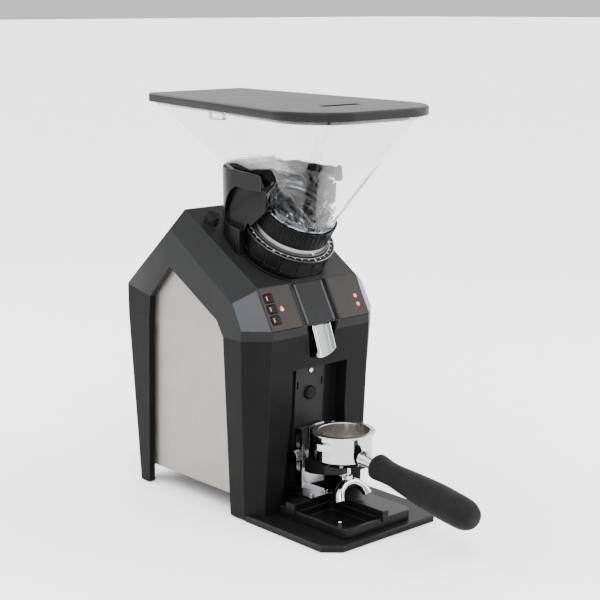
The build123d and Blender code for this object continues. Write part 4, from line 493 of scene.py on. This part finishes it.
def lettering(text, height, matrix, depth):
    """Flat raised characters, centred at a place."""
    curve = bpy.data.curves.new("characters", "FONT")
    curve.body = text
    curve.size = height
    curve.align_x = "CENTER"
    curve.align_y = "CENTER"
    curve.extrude = depth
    holder = bpy.data.objects.new("characters", curve)
    bpy.context.scene.collection.objects.link(holder)
    mesh = bpy.data.meshes.new_from_object(holder)
    bpy.data.objects.remove(holder)
    mesh.transform(matrix)
    shape = bmesh.new()
    shape.from_mesh(mesh)
    bpy.data.meshes.remove(mesh)
    return shape


def join(target, source):
    """Put one bmesh's faces into another."""
    carrier = bpy.data.meshes.new("carrier")
    source.to_mesh(carrier)
    source.free()
    target.from_mesh(carrier)
    bpy.data.meshes.remove(carrier)


def turn(angle):
    """Turn about a face's normal."""
    return Matrix.Rotation(angle, 4, "Z")


# ------------------------------------------------------------------ what a user may change
class HeadSettings(bpy.types.PropertyGroup):
    scale_marks: bpy.props.IntProperty(name="Scale marks", description="Ticks around the dial",
                                       default=180, min=30, max=360)
    figure_height: bpy.props.FloatProperty(name="Figure height", description="Height of figures",
                                           default=3.6 * MM, subtype="DISTANCE", unit="LENGTH")


class HopperSettings(bpy.types.PropertyGroup):
    crown_teeth: bpy.props.IntProperty(name="Crown teeth", description="Notches round the neck",
                                       default=16, min=6, max=40)
    crown_height: bpy.props.FloatProperty(name="Crown height", description="Height of its teeth",
                                          default=8.0 * MM, subtype="DISTANCE", unit="LENGTH")
    rim_band: bpy.props.FloatProperty(name="Rim band", description="Thick band below the lid",
                                      default=3.0 * MM, subtype="DISTANCE", unit="LENGTH")


class StageSettings(bpy.types.PropertyGroup):
    floor_colour: bpy.props.FloatVectorProperty(name="Floor", description="Colour of the floor",
                                                default=(0.96, 0.96, 0.96), size=3, min=0, max=1,
                                                subtype="COLOR")
    horizon: bpy.props.FloatProperty(name="Horizon", description="Light of the room at eye level",
                                     default=0.8)
    overhead: bpy.props.FloatProperty(name="Overhead", description="Light from above",
                                      default=3.4)
    key_power: bpy.props.FloatProperty(name="Key light", description="Power of the main light",
                                       default=34.0, unit="POWER")
    fill_power: bpy.props.FloatProperty(name="Fill light", description="Power of the side light",
                                        default=22.0, unit="POWER")


class PieceOperator(bpy.types.Operator):
    """Base for the operators that build pieces."""
    bl_idname = "grinder.piece"
    bl_label = "Build a piece"
    bl_options = {"REGISTER", "UNDO"}

    def execute(self, context):
        self.build(context.scene)
        return {"FINISHED"}


class BuildHousing(PieceOperator):
    """Cast and moulded housing shells, and the pan that closes them underneath"""
    bl_idname = "grinder.housing"
    bl_label = "Housing"

    def build(self, scene):
        refined("front_housing", "housing", 0.0005, smooth=3, flat=0)
        refined("rear_housing", "housing", 0.0006)
        # the roof takes the lighter charcoal, a painted highlight
        refined("top_housing", "housing_top", 0.0006)
        coat("floor_pan", "housing")


class BuildSidePanels(PieceOperator):
    """Satin metal panels let into both sides"""
    bl_idname = "grinder.side_panels"
    bl_label = "Side panels"

    def build(self, scene):
        refined(("side_panel_left", "side_panel_right"), "side_metal", 0.0004)


class BuildBase(PieceOperator):
    """Base plate, feet and screws"""
    bl_idname = "grinder.base"
    bl_label = "Base"

    def build(self, scene):
        refined("base_plate", "base", 0.0008)
        refined("rubber_feet", "feet", 0.0004)
        coat("base_screws", "chrome")


class BuildControls(PieceOperator):
    """Sloping glass panel with its buttons, lights, strips and centre cover"""
    bl_idname = "grinder.controls"
    bl_label = "Control panel"

    outline = 0.9 * MM
    outline_radius = 2.2 * MM
    corner_steps = 6
    skin = 0.08 * MM
    bar_inset = 0.2
    bar_end = 0.33
    upper_row = 18 * MM
    icon_rise = 0.1 * MM
    icon_sides = 32

    def build(self, scene):
        refined(("control_glass_left", "control_glass_right"), "window", 0.0003)
        # corner glasses take the lighter copy of the window, a painted reflection
        refined("corner_glasses", "corner", 0.0003)
        refined("cover_frame", "strip", 0.0003)
        refined("chute_cover", "cover", 0.0005)
        coat("control_board", "board")
        for row in (1, 2, 3):
            self.button(f"dose_button_{row}")
        coat("indicator_lights", "red")
        self.icons()
        self.cover_edges()
        self.shadow_lines()

    def button(self, node):
        """Rounded square with a dark outline on the glass and a lit bar across its left part."""
        low, high = span_on(PANEL, node)
        refined(node, "button", 0.0009, segments=3)
        outline = bmesh.new()
        margin = Vector((self.outline,) * 3)
        self.rounded_plate(outline, low - margin, high + margin)
        show(outline, f"{node}_outline", "gap", body="housing")
        bar = bmesh.new()
        width = high.x - low.x
        inset = self.bar_inset * width
        block(bar, PANEL, (low.x + inset, low.y + inset, high.z - self.skin),
              (low.x + self.bar_end * width, high.y - inset, high.z + self.skin))
        show(bar, f"{node}_bar", "faint_red", body=OWNER[node])

    def rounded_plate(self, shape, low, high):
        """Thin plate with rounded corners, lying on the glass."""
        radius = self.outline_radius
        corners = [(high.x - radius, high.y - radius, 0), (low.x + radius, high.y - radius, 1),
                   (low.x + radius, low.y + radius, 2), (high.x - radius, low.y + radius, 3)]
        rim = []
        for x, y, quarter in corners:
            for step in range(self.corner_steps + 1):
                angle = math.pi / 2 * (quarter + step / self.corner_steps)
                rim.append(PANEL @ Vector((x + radius * math.cos(angle),
                                           y + radius * math.sin(angle), -self.skin)))
        face = shape.faces.new([shape.verts.new(point) for point in rim])
        raised = bmesh.ops.extrude_face_region(shape, geom=[face])
        lift = PANEL.to_3x3() @ Vector((0, 0, 2 * self.skin))
        bmesh.ops.translate(shape, vec=lift, verts=[v for v in raised["geom"]
                                                    if isinstance(v, bmesh.types.BMVert)])
        bmesh.ops.recalc_face_normals(shape, faces=shape.faces)

    def icons(self):
        """Drop beside the buttons, and an oval and a pointed sign on the right glass."""
        inverse = PANEL.inverted()
        spots = {}
        for vertex in NODES["indicator_lights"].data.vertices:
            point = inverse @ vertex.co
            spots.setdefault((point.x > 0, point.y > self.upper_row), []).append(point)
        for (on_right, is_upper), points in spots.items():
            middle = Vector([(min(p[i] for p in points) + max(p[i] for p in points)) / 2
                             for i in range(3)])
            middle.z = max(p.z for p in points)
            here = PANEL @ Matrix.Translation(middle)
            icon = bmesh.new()
            if not on_right:
                self.drop(icon, here, 2.6 * MM, 0)
                shine = bmesh.new()
                rod(shine, here, 0.8 * MM, 0, 0.16 * MM, 20, (0.4 * MM, -0.9 * MM))
                show(shine, "drop_light", "glow", body="housing")
                name = "drop_sign"
            elif is_upper:
                rod(icon, here @ turn(0.5) @ Matrix.Diagonal((1.25, 0.85, 1, 1)), 1.9 * MM, 0,
                    self.icon_rise, self.icon_sides)
                name = "oval_sign"
            else:
                self.drop(icon, here, 1.7 * MM, math.pi + 0.2)
                name = "pointed_sign"
            show(icon, name, "red", body="housing")

    def drop(self, shape, matrix, size, angle):
        """A drop: a disc whose top is drawn up to a point."""
        here = matrix @ turn(angle)
        rod(shape, here, size, 0, self.icon_rise, self.icon_sides)
        inverse = here.inverted()
        for vertex in shape.verts:
            local = inverse @ vertex.co
            rise = max(0.0, local.y) / size
            local.x *= 1 - 0.8 * rise
            local.y *= 1 + 0.35 * rise
            vertex.co = here @ local

    def cover_edges(self):
        """Stepped bars down both sides of the centre cover; the inner bars carry a painted highlight."""
        low, high = span_on(PANEL, "chute_cover")
        frame_low, frame_high = span_on(PANEL, "cover_frame")
        for side, name in ((-1, "left"), (1, "right")):
            edge = low.x if side < 0 else high.x
            outer = frame_low.x if side < 0 else frame_high.x
            inner_bar, outer_bar = bmesh.new(), bmesh.new()
            self.bar(inner_bar, edge, edge - side * 2.4 * MM, low.y + 1 * MM, high.y - 1 * MM,
                     high.z - 0.3 * MM, high.z + 0.25 * MM)
            self.bar(outer_bar, outer - side * 0.3 * MM, outer - side * 1.6 * MM,
                     frame_low.y + 1 * MM, frame_high.y - 1 * MM, frame_high.z - 0.3 * MM,
                     frame_high.z + 0.4 * MM)
            # inner bars: lighter colour, a painted highlight along the cover's edge
            show(inner_bar, f"cover_edge_{name}", "cover_edge", body="chute_cover", bevel=0.0002)
            show(outer_bar, f"frame_edge_{name}", "cover", body="housing", bevel=0.0003)

    def bar(self, shape, x_one, x_two, y_low, y_high, z_low, z_high):
        block(shape, PANEL, (min(x_one, x_two), y_low, z_low), (max(x_one, x_two), y_high, z_high))

    def shadow_lines(self):
        """Dark joint below the glasses."""
        lines = bmesh.new()
        for node in ("control_glass_left", "control_glass_right"):
            low, high = span_on(PANEL, node)
            block(lines, PANEL, (low.x, low.y - 0.7 * MM, high.z - 0.6 * MM),
                  (high.x, low.y, high.z + self.skin))
        show(lines, "glass_joint", "gap", body="housing")


class BuildSpout(PieceOperator):
    """Polished trough in a dark box below the centre cover"""
    bl_idname = "grinder.spout"
    bl_label = "Coffee spout"

    def build(self, scene):
        refined("spout_housing", "housing", 0.0004)
        refined("spout", "chrome", 0.0003, smooth=45)
        coat("outlet_duct", "cast")


class BuildHead(PieceOperator):
    """Roof flange, grind dial with its scale, and the fixed index ring"""
    bl_idname = "grinder.head"
    bl_label = "Grinding head"

    band_rise = 0.3 * MM
    band_sides = 128
    ink = 0.05 * MM
    marks_per_long_mark = 5
    figure_count = 6

    def build(self, scene):
        settings = scene.grinder_head
        refined("roof_flange", "dial", 0.0004)
        refined("adjustment_dial", "dial", 0.0006, segments=3)
        refined("index_ring", "ring", 0.0005)
        refined("burr_tower", "cast", 0.0003)
        self.scale(settings)
        self.marker()

    def scale(self, settings):
        """Dark band round the dial with its ticks and figures, and the metal rim outside it."""
        top = span_on(HEAD, "adjustment_dial")[1].z
        outer = radius_on(HEAD, "adjustment_dial") - 0.9 * MM
        inner = radius_on(HEAD, "index_ring") + 0.8 * MM
        band = bmesh.new()
        face = top + self.band_rise
        turned(band, HEAD, [(inner, top), (inner, face), (outer, face), (outer, top)],
               self.band_sides)
        show(band, "dial_scale_band", "band", body="dial")
        marks = bmesh.new()
        for number in range(settings.scale_marks):
            long_mark = number % self.marks_per_long_mark == 0
            length = (3.0 if long_mark else 1.0) * MM
            spin = HEAD @ turn(math.tau * number / settings.scale_marks)
            half = (0.34 if long_mark else 0.24) * MM
            start = inner + 0.3 * MM
            block(marks, spin, (start, -half, face - self.ink),
                  (start + length, half, face + self.ink))
        show(marks, "dial_scale_marks", "white", body="dial")
        figures = bmesh.new()
        every = settings.scale_marks // self.figure_count
        for number in range(0, settings.scale_marks, every):
            angle = -math.pi / 2 + math.tau * number / settings.scale_marks
            where = (HEAD @ turn(angle) @ Matrix.Translation((outer - 1.9 * MM, 0, face))
                     @ turn(math.pi / 2))
            join(figures, lettering(str(2 * number // every), settings.figure_height, where,
                                    self.ink))
        show(figures, "dial_figures", "white", body="dial")
        rim = bmesh.new()
        edge = outer + 0.6 * MM
        turned(rim, HEAD, [(outer, top), (outer, top + 0.45 * MM), (edge, top + 0.4 * MM),
                           (edge, top)], self.band_sides)
        show(rim, "dial_rim", "rim", body="dial")

    def marker(self):
        """Three-sided pointer at the front of the index ring."""
        top = span_on(HEAD, "index_ring")[1].z
        outer = radius_on(HEAD, "index_ring")
        pointer = bmesh.new()
        where = HEAD @ turn(-math.pi / 2) @ Matrix.Translation((outer - 2.2 * MM, 0, top))
        rod(pointer, where, 2.4 * MM, -0.02 * MM, 0.08 * MM, 3)
        show(pointer, "index_pointer", "white", body="housing")


class BuildCollar(PieceOperator):
    """Ribbed locking collar with its latch"""
    bl_idname = "grinder.collar"
    bl_label = "Locking collar"

    def build(self, scene):
        refined("lock_collar", "collar", 0.0003)
        refined("collar_latch", "button", 0.0004)
        low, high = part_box("collar_latch")
        spot = bmesh.new()
        normal = -Vector(JOINTS["latch_push"]["axis"]).normalized()
        middle = (low + high) / 2
        where = place(middle, normal)
        reach = span_on(where, "collar_latch")[1].z
        rod(spot, where, 0.9 * MM, reach - 0.02 * MM, reach + 0.08 * MM, 24)
        show(spot, "latch_dot", "white", body="latch")


class BuildHopper(PieceOperator):
    """Clear funnel with its neck, castellated crown, clip tabs and sliding gate"""
    bl_idname = "grinder.hopper"
    bl_label = "Hopper"

    # each bar of a clip: depth and height above the rim of two corners, in millimetres
    tab_bars = (((52, -7), (54.4, 0)), ((74.6, -7), (77, 0)), ((52, -8), (77, -6.4)))
    tab_half = 1.2 * MM

    def build(self, scene):
        settings = scene.grinder_hopper
        self.funnel(settings)
        refined("hopper_gate", "clear_thick", 0.0004)
        self.crown(settings)
        self.clips()

    def funnel(self, settings):
        """The walls, with a darker band along the rim: painted shade that makes it look thicker."""
        shape = merged("hopper")
        lid_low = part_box("hopper_lid")[0]
        rim = [v.co for v in shape.verts if v.co.z > lid_low.z - 2 * MM]
        back = max(rim, key=lambda at: at.y)
        front = min(rim, key=lambda at: at.y)
        slope = math.atan2(back.z - front.z, back.y - front.y)
        normal = Vector((0, -math.sin(slope), math.cos(slope)))
        cut = front - normal * settings.rim_band
        bmesh.ops.bisect_plane(shape, geom=[*shape.verts, *shape.edges, *shape.faces],
                               plane_co=cut, plane_no=normal)
        for face in shape.faces:
            if (face.calc_center_median() - cut).dot(normal) > 0:
                # rim band faces take the darker clear, painted shade
                face.material_index = 1
        show(shape, "hopper_piece", ("clear", "clear_edge"), "hopper", smooth=28, bevel=0.0003)

    def crown(self, settings):
        """Ring of teeth round the bottom of the funnel, above the collar."""
        collar_top = span_on(HEAD, "lock_collar")[1].z
        radius = radius_on(HEAD, "lock_collar") - 2.4 * MM
        inner = radius - 1.6 * MM
        foot, shoulder = collar_top + 0.3 * MM, collar_top + 3 * MM
        ring = bmesh.new()
        turned(ring, HEAD, [(radius, foot), (radius, shoulder), (inner, shoulder), (inner, foot)])
        width = math.tau * radius / settings.crown_teeth * 0.56
        for tooth in range(settings.crown_teeth):
            spin = HEAD @ turn(math.tau * tooth / settings.crown_teeth)
            block(ring, spin, (radius - 1.7 * MM, -width / 2, collar_top + 2.8 * MM),
                  (radius - 0.1 * MM, width / 2, collar_top + settings.crown_height))
        # crown teeth take the darker clear, painted shade
        show(ring, "neck_crown", "clear_edge", body="hopper", bevel=0.0003)

    def clips(self):
        """Small clear frames that hold the lid at both sides of the rim."""
        rim_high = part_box("hopper")[1]
        for side in (-1, 1):
            tab = bmesh.new()
            x = side * (rim_high.x - 5 * MM)
            for (front, foot), (back, top) in self.tab_bars:
                rim = self.rim_height(front)
                block(tab, Matrix.Identity(4), (x - self.tab_half, front * MM, rim + foot * MM),
                      (x + self.tab_half, back * MM, rim + top * MM))
            # clip tabs take the darker clear, painted shade
            show(tab, f"clip_tab_{'left' if side < 0 else 'right'}", "clear_edge", body="hopper",
                 bevel=0.0004)

    def rim_height(self, y_mm):
        """Height of the sloping rim at a depth in millimetres."""
        low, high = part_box("hopper_lid")
        lid = NODES["hopper_lid"].data.vertices
        front = min(lid, key=lambda v: v.co.y).co
        tilt = max(v.co.z for v in lid) - max(v.co.z for v in lid if v.co.y < front.y + 5 * MM)
        share = (y_mm * MM - low.y) / (high.y - low.y)
        return low.z + 4 * MM + tilt * share


class BuildLid(PieceOperator):
    """Dark lid with its finger slot"""
    bl_idname = "grinder.lid"
    bl_label = "Hopper lid"

    def build(self, scene):
        refined("hopper_lid", "lid", 0.0004)


class BuildCradle(PieceOperator):
    """Yoke that carries the hopper, and its knob"""
    bl_idname = "grinder.cradle"
    bl_label = "Hopper cradle"

    def build(self, scene):
        refined("hopper_cradle", "cradle", 0.0012, segments=3)
        refined("cradle_knob", "cradle", 0.0006)


class BuildServicePanel(PieceOperator):
    """Plate in the recess with its start button and screws"""
    bl_idname = "grinder.service_panel"
    bl_label = "Service panel"

    def build(self, scene):
        refined("service_plate", "service", 0.0004)
        refined("start_button", "button", 0.0003, smooth=50)
        refined("panel_screws", "chrome", 0.0003)


class BuildHolder(PieceOperator):
    """Steel bracket, sliding carriage, fork and thumb screw"""
    bl_idname = "grinder.holder"
    bl_label = "Filter holder"

    def build(self, scene):
        refined(("holder_bracket", "fork_carriage"), "steel", 0.0003)
        refined("fork", "tray", 0.0008, segments=3)
        refined("thumb_screw", "knurl", 0.0003)


class BuildTray(PieceOperator):
    """Catch tray and the square bars across it"""
    bl_idname = "grinder.tray"
    bl_label = "Catch tray"

    def build(self, scene):
        refined("catch_tray", "tray", 0.0006, segments=3)
        refined("tray_frame", "tray", 0.0006, segments=3)
        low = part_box("catch_tray")[0]
        stud = bmesh.new()
        floor = low.z + 2 * MM
        where = Matrix.Translation((low.x + 24 * MM, low.y + 34 * MM, floor))
        turned(stud, where, [(0, 4.2 * MM), (1.4 * MM, 3.9 * MM), (2.2 * MM, 3 * MM),
                             (2.3 * MM, 0), (0, 0)], 32, closed=False)
        show(stud, "tray_stud", "chrome", body="catch_tray")


class BuildPortafilter(PieceOperator):
    """Polished filter holder with its basket, twin spout and rubber handle"""
    bl_idname = "grinder.portafilter"
    bl_label = "Portafilter"

    def build(self, scene):
        refined("portafilter_body", "chrome", 0.0006, segments=3, smooth=40)
        refined("filter_basket", "basket", 0.0002, smooth=50)
        refined("portafilter_spout", "chrome", 0.0004, smooth=50)
        refined("portafilter_handle", "grip", 0.0004, smooth=60)


class BuildRear(PieceOperator):
    """Power inlet and rocker switch"""
    bl_idname = "grinder.rear"
    bl_label = "Rear fittings"

    def build(self, scene):
        refined("power_inlet", "button", 0.0005)
        refined("power_switch", "button", 0.0005)


class BuildInnerWorks(PieceOperator):
    """Finishes for the burrs, motor and chamber inside"""
    bl_idname = "grinder.inner_works"
    bl_label = "Inner works"

    def build(self, scene):
        coat(("upper_burr", "lower_burr", "motor_bearings"), "burr")
        coat(("upper_burr_carrier", "lower_burr_carrier", "grinding_chamber", "motor_body",
              "motor_mount"), "cast")
        coat("motor_shaft", "steel")
        coat(("rotor_core", "motor_stator"), "copper")
        coat("cooling_fan", "button")


class BuildStage(PieceOperator):
    """Pale floor, soft studio light and the camera"""
    bl_idname = "grinder.stage"
    bl_label = "Stage"

    camera_place = Vector((-0.99297, -1.09604, 0.54094))
    camera_target = Vector((0.05521, 0.06, 0.21565))
    camera_roll = math.radians(-0.14)
    lens = 85.2
    sensor_width = 36.0
    shift = (-0.0377, 0.0055)
    floor_half = 60.0
    floor_gap = 0.0005
    floor_darker = 0.995
    sky_low, sky_high = 0.05, 0.55  # upward part of a direction where the sky starts and stops

    def build(self, scene):
        settings = scene.grinder_stage
        self.floor(settings)
        self.world(scene, settings)
        self.lamp("key", (-0.9, -1.1, 1.7), (0, 0, 0.22), 1.3, settings.key_power)
        self.lamp("fill", (1.5, -1.0, 1.0), (0, 0, 0.2), 1.4, settings.fill_power)
        self.lamp("back", (-0.5, 1.6, 1.5), (0, 0.05, 0.3), 1.2, settings.fill_power)
        self.camera(scene)

    def floor(self, settings):
        shape = bmesh.new()
        bmesh.ops.create_grid(shape, x_segments=2, y_segments=2, size=self.floor_half)
        mesh = bpy.data.meshes.new("floor")
        shape.to_mesh(mesh)
        shape.free()
        floor = bpy.data.objects.new("floor", mesh)
        bpy.context.scene.collection.objects.link(floor)
        floor.location.z = cad_bounds[0][2] - self.floor_gap
        shader = Shader("pale_floor")
        speckle = shader.noise(40, 2)
        colour = tuple(settings.floor_colour)
        darker = tuple(c * self.floor_darker for c in colour)
        shader.link(shader.ramp(speckle, [(0.3, darker), (0.7, colour)]), "Base Color")
        shader.put(Roughness=0.7)
        mesh.materials.append(shader.material)

    def world(self, scene, settings):
        """Room light that grows from the horizon upwards."""
        world = bpy.data.worlds.new("studio")
        world.use_nodes = True
        tree = world.node_tree
        background = tree.nodes["Background"]
        direction = tree.nodes.new("ShaderNodeTexCoord")
        split = tree.nodes.new("ShaderNodeSeparateXYZ")
        height = tree.nodes.new("ShaderNodeMapRange")
        for name, value in (("From Min", self.sky_low), ("From Max", self.sky_high),
                            ("To Min", settings.horizon), ("To Max", settings.overhead)):
            height.inputs[name].default_value = value
        tree.links.new(direction.outputs["Generated"], split.inputs["Vector"])
        tree.links.new(split.outputs["Z"], height.inputs["Value"])
        tree.links.new(height.outputs["Result"], background.inputs["Strength"])
        background.inputs["Color"].default_value = (1, 1, 1, 1)
        scene.world = world

    def lamp(self, name, position, target, size, power):
        data = bpy.data.lights.new(name, "AREA")
        data.shape = "RECTANGLE"
        data.size = size
        data.size_y = size
        data.energy = power
        lamp = bpy.data.objects.new(name, data)
        lamp.location = position
        towards = Vector(target) - Vector(position)
        lamp.rotation_euler = towards.to_track_quat("-Z", "Y").to_euler()
        bpy.context.scene.collection.objects.link(lamp)

    def camera(self, scene):
        data = bpy.data.cameras.new("camera")
        data.lens = self.lens
        data.sensor_width = self.sensor_width
        data.shift_x, data.shift_y = self.shift
        camera = bpy.data.objects.new("camera", data)
        look = (self.camera_target - self.camera_place).to_track_quat("-Z", "Y").to_matrix()
        camera.matrix_world = (Matrix.Translation(self.camera_place) @ look.to_4x4()
                               @ turn(self.camera_roll))
        scene.collection.objects.link(camera)
        scene.camera = camera


class GrinderPanel(bpy.types.Panel):
    """Lists the building steps and their sizes"""
    bl_idname = "VIEW3D_PT_grinder"
    bl_label = "Coffee grinder"
    bl_space_type = "VIEW_3D"
    bl_region_type = "UI"
    bl_category = "Grinder"

    def draw(self, context):
        scene = context.scene
        for step in STEPS:
            self.layout.operator(step.bl_idname)
        for name, settings in SETTINGS.items():
            box = self.layout.box()
            for field in settings.__annotations__:
                box.prop(getattr(scene, name), field)


STEPS = (BuildHousing, BuildSidePanels, BuildBase, BuildControls, BuildSpout, BuildHead,
         BuildCollar, BuildHopper, BuildLid, BuildCradle, BuildServicePanel, BuildHolder,
         BuildTray, BuildPortafilter, BuildRear, BuildInnerWorks, BuildStage)
SETTINGS = {"grinder_head": HeadSettings, "grinder_hopper": HopperSettings,
            "grinder_stage": StageSettings}


def register():
    for settings in SETTINGS.values():
        bpy.utils.register_class(settings)
    for step in STEPS:
        bpy.utils.register_class(step)
    bpy.utils.register_class(GrinderPanel)
    for name, settings in SETTINGS.items():
        setattr(bpy.types.Scene, name, bpy.props.PointerProperty(type=settings))


def unregister():
    for name in SETTINGS:
        delattr(bpy.types.Scene, name)
    for cls in (GrinderPanel, *reversed(STEPS), *SETTINGS.values()):
        bpy.utils.unregister_class(cls)


def main():
    register()
    for step in STEPS:
        group, name = step.bl_idname.split(".")
        getattr(getattr(bpy.ops, group), name)()


if __name__ == "__main__":
    main()
